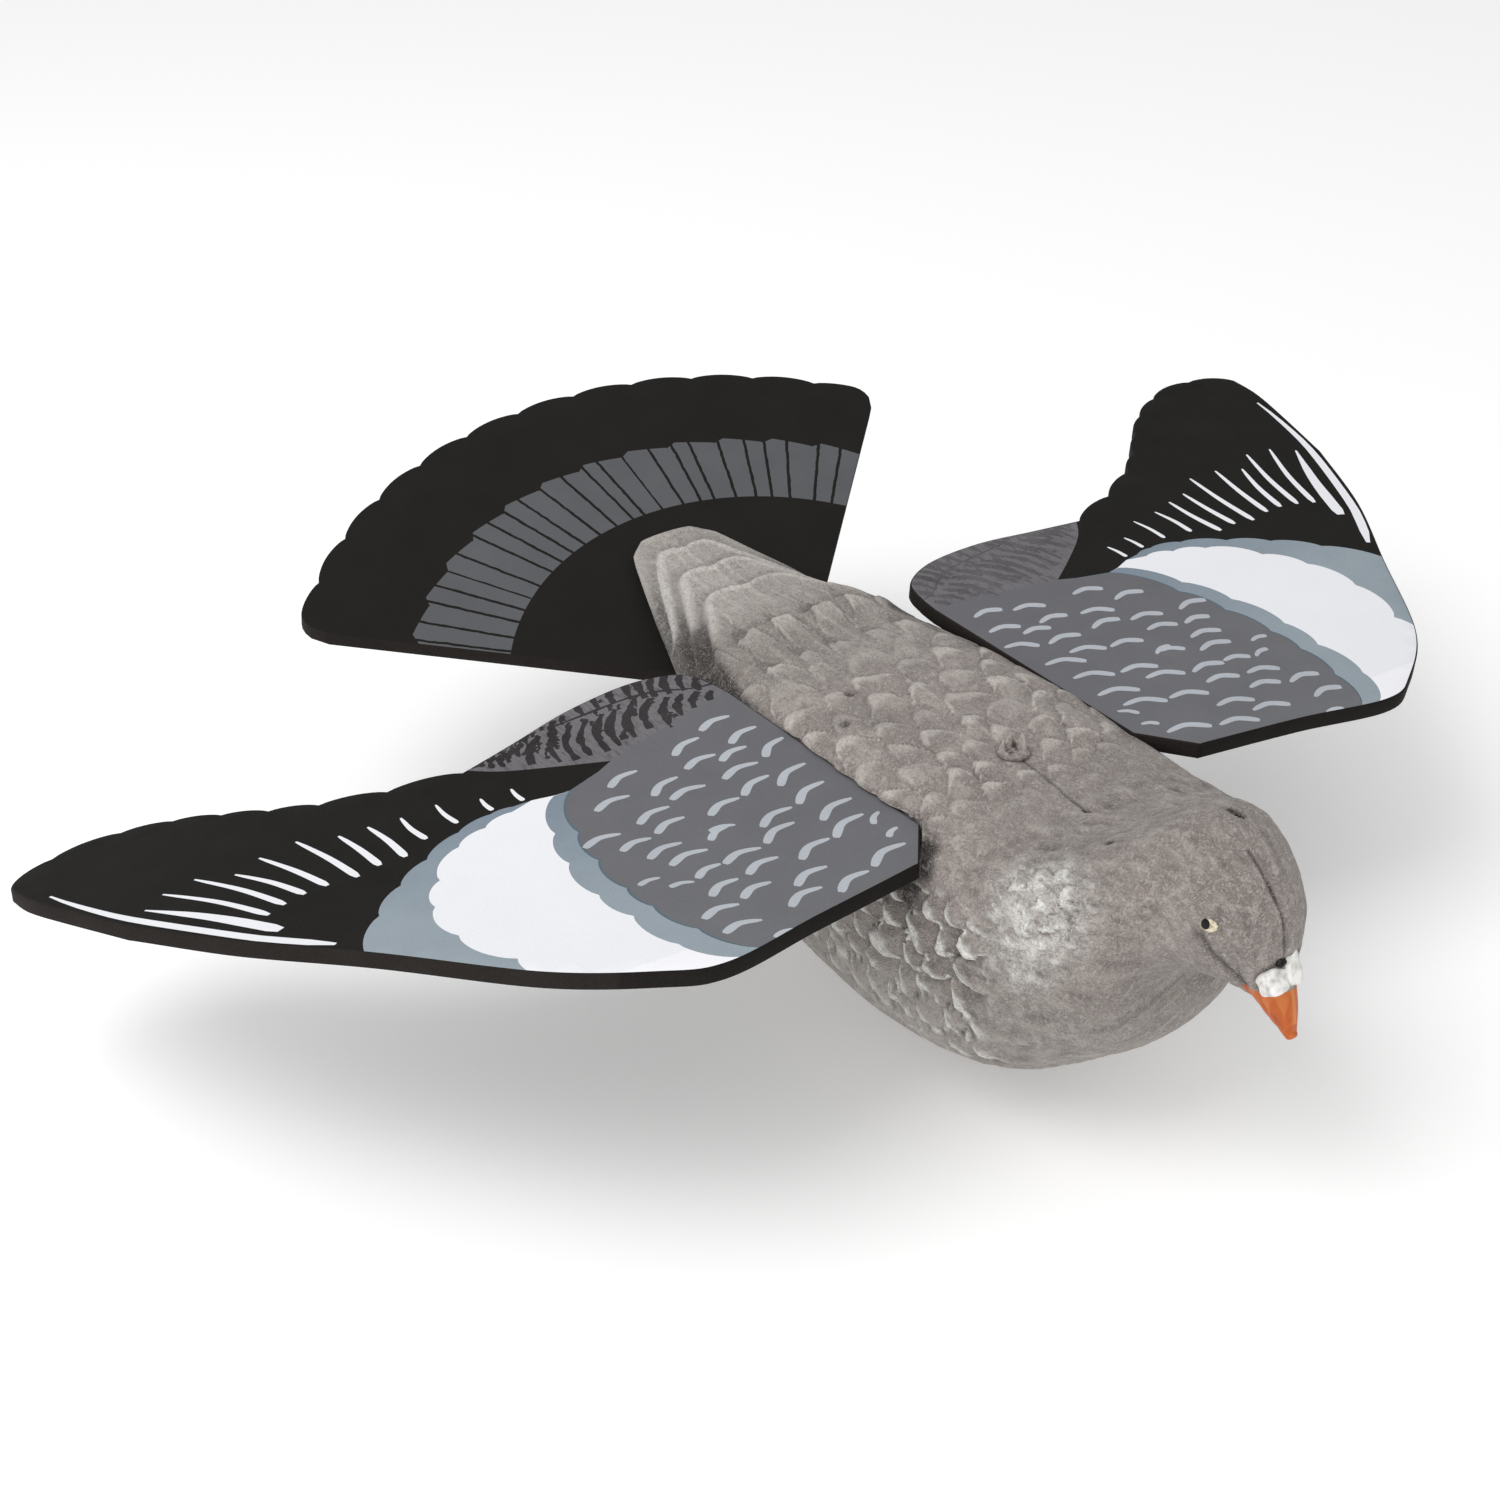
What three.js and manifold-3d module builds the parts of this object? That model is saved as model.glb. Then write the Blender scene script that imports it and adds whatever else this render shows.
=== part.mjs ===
// A flying pigeon decoy: a moulded, flocked body with two foam wings and a foam fan tail in its slots.
// Millimetres. +Z is up, the bird faces -Y and its left wing is on +X.
// The origin is the middle of the flat under the belly, which it rests on.
import * as THREE from "three";
import { mergeVertices } from "three/addons/utils/BufferGeometryUtils.js";
import Module from "manifold-3d";

// Driving dimensions
const bodyLength = 343; // beak tip to the tip of the moulded tail
const boardThickness = 6; // closed-cell foam sheet of wings and fan
const wingReach = 226; // sideways, from the front root corner to the wing tip
const fanRadius = 190; // from the point of the fan to the notches between its feathers
const fanHalfAngle = 49.4; // degrees, from the middle of the fan to a straight side
const fanFeathers = 12;
const tabDepth = 15; // how far a wing reaches inwards of its root corner, into the body
const slotClearance = 0.3; // air around a board inside its slot
const featherPitch = 17; // from one row of moulded feathers to the next
const featherWidth = 22;
const featherLift = 1.5; // how far a moulded feather's tip stands proud
const tailLayers = 5; // long feathers that end one behind the other at the tail
const tailStepHeight = 1.2;
const tailStepPitch = 14;
const knobRadius = 4.5; // the raised ring on the back
const knobHeight = 2.6;

// How each board sits in its slot: lift, pitch, tilt, turn and roll in degrees.
// The foam is soft, so the two wings hang a little differently. curl is the rise of the tip's
// front and twist the rise of its rear corner over the front, in millimetres.
const rightPose = { lift: 1.2, pitch: 0.6, curl: 14, twist: -34.7 };
const leftPose = { lift: -2.4, pitch: -1.8, curl: 2.8, twist: 10.7 };
const fanPose = { tilt: 16.7, turn: 2.9, roll: -3.5 };

// Mesh fineness
const sectionPoints = 46;
const outlineSteps = 160;
const rowSpacing = 5.8;
const leastRowsPerStation = 2;
const wingStrips = 4;
const wingInnerRows = 14;
const rowsPerWingFeather = 5;
const stepsPerFanFeather = 5;

const deg = Math.PI / 180;
const unit = bodyLength / 100;

// The body's sections from beak to tail, in hundredths of its length.
// back and up: the section's highest point, behind the beak tip and above the belly flat.
// lowBack and low: its lowest point. half: half its width. wide: the height of the widest place,
// as a share of the section's height. box: 2 is an ellipse, more is flatter on top.
const bodyStations = [
  { back: 0, up: 21.2, lowBack: 0.5, low: 20.5, half: 0.5, wide: 0.5, box: 2 },
  { back: 0.4, up: 23.8, lowBack: 2.7, low: 21.6, half: 1.2, wide: 0.5, box: 2 },
  { back: 1.2, up: 26.4, lowBack: 4.8, low: 23, half: 2, wide: 0.5, box: 2 },
  { back: 1.8, up: 29.4, lowBack: 6.8, low: 23.4, half: 3.6, wide: 0.5, box: 2 },
  { back: 2.5, up: 33, lowBack: 9.4, low: 23, half: 5.2, wide: 0.5, box: 2 },
  { back: 5.2, up: 36.9, lowBack: 12.4, low: 21.8, half: 6.6, wide: 0.5, box: 2 },
  { back: 9.3, up: 39.3, lowBack: 13.3, low: 19.4, half: 8.2, wide: 0.44, box: 2 },
  { back: 13, up: 38.9, lowBack: 13.1, low: 16.4, half: 10.6, wide: 0.42, box: 2 },
  { back: 16.5, up: 36.4, lowBack: 14.2, low: 12.4, half: 12.9, wide: 0.54, box: 2.2 },
  { back: 20.8, up: 33.2, lowBack: 18.6, low: 8.2, half: 15.2, wide: 0.66, box: 2.8 },
  { back: 26.5, up: 31.4, lowBack: 24.6, low: 3.8, half: 16.4, wide: 0.7, box: 3.5 },
  { back: 33.2, up: 31.4, lowBack: 32.4, low: 0.8, half: 16.9, wide: 0.69, box: 3.8 },
  { back: 41.1, up: 32, lowBack: 41.1, low: -0.6, half: 16.9, wide: 0.68, box: 4 },
  { back: 51.3, up: 32.3, lowBack: 51.9, low: -0.8, half: 16.3, wide: 0.7, box: 4 },
  { back: 61.5, up: 32.1, lowBack: 62.4, low: 0.6, half: 15.4, wide: 0.72, box: 3.8 },
  { back: 71.7, up: 31.6, lowBack: 71.7, low: 8.2, half: 14.1, wide: 0.7, box: 3.5 },
  { back: 79, up: 31.2, lowBack: 80, low: 20.4, half: 12.4, wide: 0.6, box: 2.8 },
  { back: 86.3, up: 31.2, lowBack: 87.7, low: 27, half: 10.2, wide: 0.45, box: 2.4 },
  { back: 92.7, up: 31.7, lowBack: 93.9, low: 29, half: 7.8, wide: 0.45, box: 2.3 },
  { back: 97.8, up: 32.3, lowBack: 98.4, low: 30.3, half: 5.8, wide: 0.5, box: 2.2 },
  { back: 99.8, up: 32.3, lowBack: 100, low: 31.4, half: 3.6, wide: 0.5, box: 2 },
];

// Where the boards enter the body, from its own sections.
const rootBack = 30.9; // the wings' front root corners, behind the beak tip
const rootUp = 30; // the top face of a wing there
const rootHalf = 18.4; // sideways from the middle
const fanBack = 73.6; // the point of the fan
const fanUp = 23.3;
const knobBack = 39;
const knobUp = 32.2;
const bellyBack = 48.4; // the middle of the flat under the belly
const bodyY = (back) => (back - bellyBack) * unit;

const wasm = await Module();
wasm.setup();

function solidFrom(geometry) {
  const bare = new THREE.BufferGeometry();
  bare.setAttribute("position", geometry.getAttribute("position").clone());
  if (geometry.index) bare.setIndex(geometry.index.clone());
  const merged = mergeVertices(bare, 1e-4);
  const vertProperties = new Float32Array(merged.getAttribute("position").array);
  const triVerts = new Uint32Array(merged.index.array);
  return new wasm.Manifold(new wasm.Mesh({ numProp: 3, vertProperties, triVerts }));
}

function geometryFrom(solid) {
  const mesh = solid.getMesh();
  const geometry = new THREE.BufferGeometry();
  geometry.setAttribute("position", new THREE.BufferAttribute(new Float32Array(mesh.vertProperties), 3));
  geometry.setIndex(new THREE.BufferAttribute(new Uint32Array(mesh.triVerts), 1));
  geometry.computeVertexNormals();
  return geometry;
}

// A closed skin over rings of points that all have the same count.
function skinRings(rings) {
  const count = rings[0].length;
  const positions = rings.flat().flatMap((p) => [p.x, p.y, p.z]);
  const index = [];
  for (let r = 0; r + 1 < rings.length; r++) {
    for (let i = 0; i < count; i++) {
      const a = r * count + i;
      const b = r * count + ((i + 1) % count);
      index.push(a, b, b + count, a, b + count, a + count);
    }
  }
  const endCap = (ring, first, flip) => {
    const middle = new THREE.Vector3();
    ring.forEach((p) => middle.addScaledVector(p, 1 / count));
    const centre = positions.length / 3;
    positions.push(middle.x, middle.y, middle.z);
    for (let i = 0; i < count; i++) {
      const a = first + i;
      const b = first + ((i + 1) % count);
      index.push(...(flip ? [centre, b, a] : [centre, a, b]));
    }
  };
  endCap(rings[0], 0, true);
  endCap(rings[rings.length - 1], (rings.length - 1) * count, false);
  const geometry = new THREE.BufferGeometry();
  geometry.setAttribute("position", new THREE.Float32BufferAttribute(positions, 3));
  geometry.setIndex(index);
  return geometry;
}

// Body

// Rounded feathers in staggered rows: level at a feather's root, and highest near its tip.
function featherRelief(lengthwise, across) {
  const roundness = 0.9; // how far a feather's tip reaches past its corners, in rows
  const crest = 0.72; // where along itself a feather is highest
  const edgeOfRow = (row) => {
    const shifted = across / featherWidth + (row % 2 ? 0.5 : 0);
    const fromMiddle = 2 * (shifted - Math.round(shifted));
    return (row + roundness * (1 - fromMiddle * fromMiddle)) * featherPitch;
  };
  let row = Math.floor(lengthwise / featherPitch) - 1;
  while (edgeOfRow(row) < lengthwise) row++;
  const root = edgeOfRow(row - 1);
  const share = Math.max(0, (lengthwise - root) / (edgeOfRow(row) - root));
  const rise = THREE.MathUtils.smoothstep(share, 0, crest);
  const fall = THREE.MathUtils.smoothstep(share, crest, 1);
  return featherLift * (rise - fall);
}

// The layers step down towards the tail's tip, and their edges run forwards down its sides.
function tailRelief(lengthwise, across) {
  const slant = 2.2;
  const blunt = 0.03 * bodyLength; // how widely a layer's tip is rounded
  const fromTip = bodyLength - lengthwise - slant * (Math.hypot(across, blunt) - blunt);
  const layer = THREE.MathUtils.clamp(Math.floor(fromTip / tailStepPitch), 0, tailLayers - 1);
  return (layer - (tailLayers - 1) / 2) * tailStepHeight;
}

// Where the relief lies, in hundredths of the body's length. Head, breast and belly stay smooth.
function reliefAt(lengthwise, across) {
  const { smoothstep } = THREE.MathUtils;
  const share = lengthwise / unit;
  const out = Math.abs(across) / unit;
  const onBack = 1 - smoothstep(out, 12.5, 14.5);
  const underWing = smoothstep(out, 21, 23) * (1 - smoothstep(out, 30, 36));
  const feathers = smoothstep(share, 24, 30) * (1 - smoothstep(share, 78, 82));
  const tail = smoothstep(share, 74, 82) * (1 - smoothstep(share, 97, 99));
  return (
    feathers * (onBack + underWing) * featherRelief(lengthwise, across) +
    tail * tailRelief(lengthwise, across)
  );
}

// One section's outline round from the top, as x and height pairs, with closer points on the back.
function sectionOutline(half, height, wide, box) {
  const crowding = 1.2;
  const power = (value, exponent) => Math.sign(value) * Math.abs(value) ** exponent;
  const curve = [];
  for (let i = 0; i <= outlineSteps; i++) {
    const angle = (i / outlineSteps) * Math.PI;
    const upper = angle < Math.PI / 2;
    const n = upper ? box : 1 + box / 2;
    const x = half * power(Math.sin(angle), 2 / n);
    const z = height * (wide + (upper ? 1 - wide : wide) * power(Math.cos(angle), 2 / n));
    curve.push(new THREE.Vector2(x, z));
  }
  const path = new THREE.Path(curve);
  const side = [];
  const perSide = sectionPoints / 2;
  for (let i = 0; i <= perSide; i++) side.push(path.getPoint((i / perSide) ** crowding));
  const otherSide = side.slice(1, -1).reverse();
  return [...side, ...otherSide.map((p) => new THREE.Vector2(-p.x, p.y))];
}

function bodyRing(top, low, shape) {
  const upward = top.clone().sub(low);
  const height = upward.length();
  upward.normalize();
  const outline = sectionOutline(shape.x, height, shape.y, shape.z);
  const count = outline.length;
  const half = count / 2;
  const acrossAt = [0];
  for (let i = 1; i <= half; i++) {
    acrossAt.push(acrossAt[i - 1] + outline[i].distanceTo(outline[i - 1]));
  }
  return outline.map((p, i) => {
    const before = outline[(i + count - 1) % count];
    const after = outline[(i + 1) % count];
    const out = new THREE.Vector2(before.y - after.y, after.x - before.x).normalize();
    const at = low.clone().addScaledVector(upward, p.y);
    at.x += p.x;
    const across = i <= half ? acrossAt[i] : -acrossAt[count - i];
    const relief = reliefAt(at.y - bodyY(0), across);
    at.addScaledVector(upward, out.y * relief);
    at.x += out.x * relief;
    return at;
  });
}

function bodyRings() {
  const through = (pointOf) => new THREE.CatmullRomCurve3(bodyStations.map(pointOf));
  const tops = through((s) => new THREE.Vector3(0, bodyY(s.back), s.up * unit));
  const lows = through((s) => new THREE.Vector3(0, bodyY(s.lowBack), s.low * unit));
  const shapes = through((s) => new THREE.Vector3(s.half * unit, s.wide, s.box));
  const spans = bodyStations.length - 1;
  const rings = [];
  for (let span = 0; span < spans; span++) {
    const run = tops.getPoint((span + 1) / spans).distanceTo(tops.getPoint(span / spans));
    const rows = Math.max(leastRowsPerStation, Math.round(run / rowSpacing));
    const last = span === spans - 1 ? rows : rows - 1;
    for (let row = 0; row <= last; row++) {
      const t = Math.min(1, (span + row / rows) / spans);
      rings.push(bodyRing(tops.getPoint(t), lows.getPoint(t), shapes.getPoint(t)));
    }
  }
  return rings;
}

// The raised ring on the back, with its sunk middle.
function backKnob() {
  const root = -6; // it starts inside the back
  const profile = [
    [0, root],
    [knobRadius, root],
    [knobRadius, knobHeight * 0.6],
    [knobRadius * 0.8, knobHeight],
    [knobRadius * 0.5, knobHeight],
    [knobRadius * 0.4, knobHeight * 0.2],
    [0, knobHeight * 0.2],
  ].map(([r, z]) => new THREE.Vector2(r, z));
  const knob = new THREE.LatheGeometry(profile, 12);
  knob.rotateX(Math.PI / 2);
  knob.translate(0, bodyY(knobBack), knobUp * unit);
  return knob;
}

// Two soft lobes over the root of the beak, in shares of the body's length.
function cereLobes() {
  return [-1, 1].map((side) => {
    const lobe = new THREE.SphereGeometry(unit, 12, 8);
    lobe.scale(1.3, 1.25, 1.6);
    lobe.rotateX(-25 * deg);
    lobe.translate(side * 1.05 * unit, bodyY(2.1), 26.7 * unit);
    return lobe;
  });
}

// The whole bird without its slots, cut off level under the belly.
function bodySolid() {
  const above = new THREE.BoxGeometry(2 * bodyLength, 2 * bodyLength, bodyLength);
  above.translate(0, 0, bodyLength / 2);
  let body = solidFrom(skinRings(bodyRings())).intersect(solidFrom(above));
  for (const lump of [backKnob(), ...cereLobes()]) body = body.add(solidFrom(lump));
  return body;
}

// Wings

// A wing's outline from above: u outwards and v backwards from the front root corner.
const drawnReach = 226; // the reach it is drawn at
const wingFront = [[0, 0], [45, -6], [84, -13], [104, -6], [133, 16], [165, 60], [192, 98], [212, 138]];
const wingTip = [[212, 138], [221, 168], [226, 192], [224, 207]];
const wingBehind = [[-14, 134], [-9, 148], [8, 157], [34, 158.5], [60, 154], [82, 150]];
const handCusps = [[82, 150], [107, 159], [128, 170], [146, 182], [163, 195], [180, 206], [206, 214],
  [224, 207]];
const tabFront = 18;
const tabBack = 126;

const scaled = (points) =>
  points.map(([u, v]) => new THREE.Vector2(u, v).multiplyScalar(wingReach / drawnReach));

// Pairs of points, one on the leading and one on the trailing edge, from the tab to the tip.
function wingRows() {
  const front = new THREE.SplineCurve(scaled(wingFront));
  const tip = new THREE.SplineCurve(scaled(wingTip));
  const behind = new THREE.SplineCurve(scaled(wingBehind));
  const cusps = scaled(handCusps);
  const tab = scaled([[0, tabFront], [0, tabBack]]);
  for (const corner of tab) corner.x = -tabDepth;
  const rows = [tab];
  const innerShare = 0.52; // of the leading edge, before the long feathers start
  for (let i = 0; i <= wingInnerRows; i++) {
    const t = i / wingInnerRows;
    rows.push([front.getPointAt(t * innerShare), behind.getPointAt(t)]);
  }
  const feathers = cusps.length - 1;
  const handRows = feathers * rowsPerWingFeather;
  const frontRows = Math.round(handRows * 0.62);
  for (let i = 1; i < handRows; i++) {
    const feather = Math.floor(i / rowsPerWingFeather);
    const rear = featherEnd(cusps[feather], cusps[feather + 1], i / rowsPerWingFeather - feather);
    const outer = (i - frontRows) / (handRows - frontRows);
    const lead =
      outer <= 0
        ? front.getPointAt(innerShare + (1 - innerShare) * (i / frontRows))
        : tip.getPointAt(outer);
    rows.push([lead, rear]);
  }
  return rows;
}

// A point on the rounded end of a feather between two cusps.
function featherEnd(from, to, share) {
  const bulge = 0.11 * Math.sin(share * Math.PI) ** 0.7;
  const chord = to.clone().sub(from);
  const outward = new THREE.Vector2(-chord.y, chord.x);
  return from.clone().addScaledVector(chord, share).addScaledVector(outward, bulge);
}

// The bent board as rings across it, grown all round by grow.
function wingBoard(pose, grow) {
  const twistLength = 0.66 * wingReach;
  const bend = (u, v) =>
    pose.curl * (u / wingReach) ** 2 + pose.twist * (u / wingReach) * (v / twistLength);
  const rings = wingRows().map(([lead, rear], r) => {
    const backward = rear.clone().sub(lead).normalize();
    const front = lead.clone().addScaledVector(backward, -grow);
    const back = rear.clone().addScaledVector(backward, grow);
    if (r === 0) {
      front.x -= grow;
      back.x -= grow;
    }
    const across = [];
    for (let i = 0; i <= wingStrips; i++) across.push(front.clone().lerp(back, i / wingStrips));
    const lifted = (p, z) => new THREE.Vector3(p.x, p.y, bend(p.x, p.y) + z);
    const under = across.map((p) => lifted(p, -boardThickness - grow));
    const over = across.map((p) => lifted(p, grow));
    return [...under, ...over.reverse()];
  });
  return skinRings(rings);
}

// side is 1 for the left wing and -1 for the right one, which is mirrored.
function placedWing(pose, side, grow) {
  const wing = wingBoard(pose, grow);
  if (side < 0) {
    wing.scale(-1, 1, 1);
    const index = wing.index.array;
    for (let i = 0; i < index.length; i += 3) [index[i], index[i + 1]] = [index[i + 1], index[i]];
  }
  wing.rotateX(-pose.pitch * deg);
  wing.rotateY(-side * pose.lift * deg);
  wing.translate(side * rootHalf * unit, bodyY(rootBack), rootUp * unit);
  return wing;
}

// Fan tail

function fanOutline(grow) {
  const lobeHeight = 0.012 * fanRadius;
  const cornerRadius = 0.028 * fanRadius;
  const innerRadius = 14; // the point is cut off inside the body
  const half = fanHalfAngle * deg;
  const steps = fanFeathers * stepsPerFanFeather;
  const at = (radius, angle) => new THREE.Vector2(radius * Math.sin(angle), radius * Math.cos(angle));
  const points = [];
  for (let i = 0; i <= steps; i++) {
    const angle = half * ((2 * i) / steps - 1);
    const wave = Math.sin(((i % stepsPerFanFeather) / stepsPerFanFeather) * Math.PI) ** 0.7;
    const toSide = Math.min(1, ((half - Math.abs(angle)) * fanRadius) / cornerRadius);
    const round = cornerRadius * (1 - Math.sqrt(1 - (1 - toSide) ** 2));
    points.push(at(fanRadius + grow + lobeHeight * wave - round, angle));
  }
  points.push(at(innerRadius - grow, half));
  points.push(at(innerRadius - grow, -half));
  return points;
}

function placedFan(grow) {
  const depth = boardThickness + 2 * grow;
  const fan = new THREE.ExtrudeGeometry(new THREE.Shape(fanOutline(grow)), { depth, bevelEnabled: false });
  fan.translate(0, 0, -boardThickness - grow);
  fan.rotateZ(fanPose.turn * deg);
  fan.rotateX(fanPose.tilt * deg);
  fan.rotateY(fanPose.roll * deg);
  fan.translate(0, bodyY(fanBack), fanUp * unit);
  return fan;
}

// Assembly

const flockedPlastic = new THREE.MeshStandardMaterial({ color: 0x958d87, roughness: 0.95 });
const printedFoam = new THREE.MeshStandardMaterial({ color: 0x5c5e63, roughness: 0.8 });
const blackFoam = new THREE.MeshStandardMaterial({ color: 0x24241f, roughness: 0.85 });

let slottedBody = bodySolid();
for (const board of [
  placedWing(rightPose, -1, slotClearance),
  placedWing(leftPose, 1, slotClearance),
  placedFan(slotClearance),
]) {
  slottedBody = slottedBody.subtract(solidFrom(board));
}

const decoy = new THREE.Group();

function addPiece(name, geometry, material) {
  const piece = new THREE.Mesh(geometry, material);
  piece.name = name;
  decoy.add(piece);
}

addPiece("body", geometryFrom(slottedBody), flockedPlastic);
addPiece("right_wing", placedWing(rightPose, -1, 0), printedFoam);
addPiece("left_wing", placedWing(leftPose, 1, 0), printedFoam);
addPiece("fan_tail", placedFan(0), blackFoam);

export default decoy;
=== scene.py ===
import math
import random
import bpy
import numpy as np
from mathutils import Matrix, Vector, noise
from mathutils.geometry import delaunay_2d_cdt


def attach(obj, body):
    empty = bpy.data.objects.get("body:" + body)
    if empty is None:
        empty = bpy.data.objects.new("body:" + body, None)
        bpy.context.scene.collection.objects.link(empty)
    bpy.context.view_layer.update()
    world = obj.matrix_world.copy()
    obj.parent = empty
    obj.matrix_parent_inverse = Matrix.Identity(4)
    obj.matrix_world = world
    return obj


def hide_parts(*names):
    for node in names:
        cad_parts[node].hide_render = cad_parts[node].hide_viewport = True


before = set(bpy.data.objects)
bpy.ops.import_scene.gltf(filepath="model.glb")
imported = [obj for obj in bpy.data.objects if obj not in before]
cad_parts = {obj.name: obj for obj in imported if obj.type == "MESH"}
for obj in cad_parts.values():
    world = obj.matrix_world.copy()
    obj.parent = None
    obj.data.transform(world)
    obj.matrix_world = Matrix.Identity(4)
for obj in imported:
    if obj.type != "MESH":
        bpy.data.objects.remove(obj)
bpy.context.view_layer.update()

# Pigeon decoy: flocked body, two printed foam wings and a foam fan tail.
# Sizes are worked out in millimetres and put into the meshes in metres.
mm = 0.001
bodyLength = 343.0
unit = bodyLength / 100   # one hundredth of the body's length
bellyBack = 48.4          # the middle of the belly flat, in hundredths behind the beak tip


def bodyY(back):
    return (back - bellyBack) * unit


def toLinear(hexColour):
    channels = [int(hexColour[i:i + 2], 16) / 255 for i in (1, 3, 5)]
    return tuple(c / 12.92 if c <= 0.04045 else ((c + 0.055) / 1.055) ** 2.4 for c in channels) + (1.0,)


# Sets inputs of a node. A socket is linked, so is a node, by its first output in use, and any other value
# is set.
def setInputs(tree, node, inputs):
    for name, value in inputs.items():
        if isinstance(value, bpy.types.Node):
            value = next(socket for socket in value.outputs if socket.enabled)
        if isinstance(value, bpy.types.NodeSocket):
            tree.links.new(value, node.inputs[name])
        else:
            node.inputs[name].default_value = value


def addNode(tree, kind, inputs=None, **settings):
    node = tree.nodes.new(kind)
    for name, value in settings.items():
        setattr(node, name, value)
    setInputs(tree, node, inputs or {})
    return node


# 0 at the first value and 1 at the second, which may be the smaller one.
def smoothStep(none, full, value):
    t = np.clip((value - none) / (full - none), 0, 1)
    return t * t * (3 - 2 * t)


# Rises from start to full and falls again from fade to end.
def between(start, full, fade, end, value):
    return smoothStep(start, full, value) * smoothStep(end, fade, value)


def noiseOver(points, size, seed):
    return np.array([noise.noise(Vector((p[0] / size + seed, p[1] / size, p[2] / size))) for p in points])


# Returns the material, its node tree and the place on the piece.
def newMaterial(name, values):
    material = bpy.data.materials.new(name)
    material.use_nodes = True
    tree = material.node_tree
    setInputs(tree, tree.nodes["Principled BSDF"], values)
    return material, tree, addNode(tree, "ShaderNodeTexCoord").outputs["Object"]


# Lays coats of colour over the first one, each as far as its share goes, and adds the relief, with its depth
# in mm.
def finish(material, shade, coats, height=None, strength=0.0, depth=0.0):
    tree = material.node_tree
    for share, tint in coats:
        shade = addNode(tree, "ShaderNodeMix", {0: share, 6: shade, 7: toLinear(tint)}, data_type="RGBA")
    surface = {"Base Color": shade}
    if height is not None:
        surface["Normal"] = addNode(tree, "ShaderNodeBump", {"Height": height, "Strength": strength,
                                                             "Distance": depth * mm})
    setInputs(tree, tree.nodes["Principled BSDF"], surface)
    return material


def newObject(name, data):
    made = bpy.data.objects.new(name, data)
    bpy.context.scene.collection.objects.link(made)
    return made


# A piece from points in mm.
def newPiece(name, points, faces, materials, faceMaterials=None):
    mesh = bpy.data.meshes.new(name)
    mesh.from_pydata((np.asarray(points) * mm).tolist(), [], faces)
    for material in materials:
        mesh.materials.append(material)
    if faceMaterials is not None:
        mesh.polygons.foreach_set("material_index", np.asarray(faceMaterials, dtype=np.int32))
    mesh.shade_smooth()
    mesh.update()
    return newObject(name, mesh)


# Faces between rings of points, given by their numbers.
def facesBetween(rings):
    return [[ring[i], ring[(i + 1) % len(ring)], after[(i + 1) % len(ring)], after[i]]
            for ring, after in zip(rings, rings[1:]) for i in range(len(ring))]


def addAttribute(piece, name, values):
    layer = piece.data.attributes.new(name, "FLOAT", "POINT")
    layer.data.foreach_set("value", np.asarray(values, dtype=np.float32))


# Replaces a piece's mesh with its evaluated one and takes its modifiers off.
def applyModifiers(piece):
    evaluated = piece.evaluated_get(bpy.context.evaluated_depsgraph_get())
    mesh = bpy.data.meshes.new_from_object(evaluated)
    piece.modifiers.clear()
    piece.data = mesh


# Camera at the photograph's angle

cameraLook = {"place": (-466.4, -522.9, 512.6), "lens": 55.2, "right": (0.8090, -0.5878, 0),
              "up": (0.3027, 0.4167, 0.8572), "back": (-0.5038, -0.6935, 0.5150)}
camera = newObject("camera", bpy.data.cameras.new("camera"))
camera.data.lens = cameraLook["lens"]
camera.data.sensor_width = 36
turned = Matrix([Vector(cameraLook[axis]).normalized() for axis in ("right", "up", "back")]).transposed()
camera.matrix_world = Matrix.Translation(Vector(cameraLook["place"]) * mm) @ turned.to_4x4()
bpy.context.scene.camera = camera


# Finishes

flockLook = {
    "flock": "#9a918c", "cool": "#8d8580", "green": "#94928a", "speck": "#6c635f",
    # The rim colour is the pale tone and painted highlight, the next the dark tone and painted shade, and
    # down the pale down with painted highlight.
    "rim": "#c8c0ba", "toneAndShade": "#2a2624", "down": "#e2e1dc",
    "patchSize": 30.0, "mottleSize": 4.5, "fibreSize": 1.4, "napSize": 1.7,   # mm
    # Loose fibres lie every way in tufts about 1.4 mm long. Real ones are 0.02 mm thick, too fine to show,
    # so these are twenty times as coarse.
}
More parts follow.
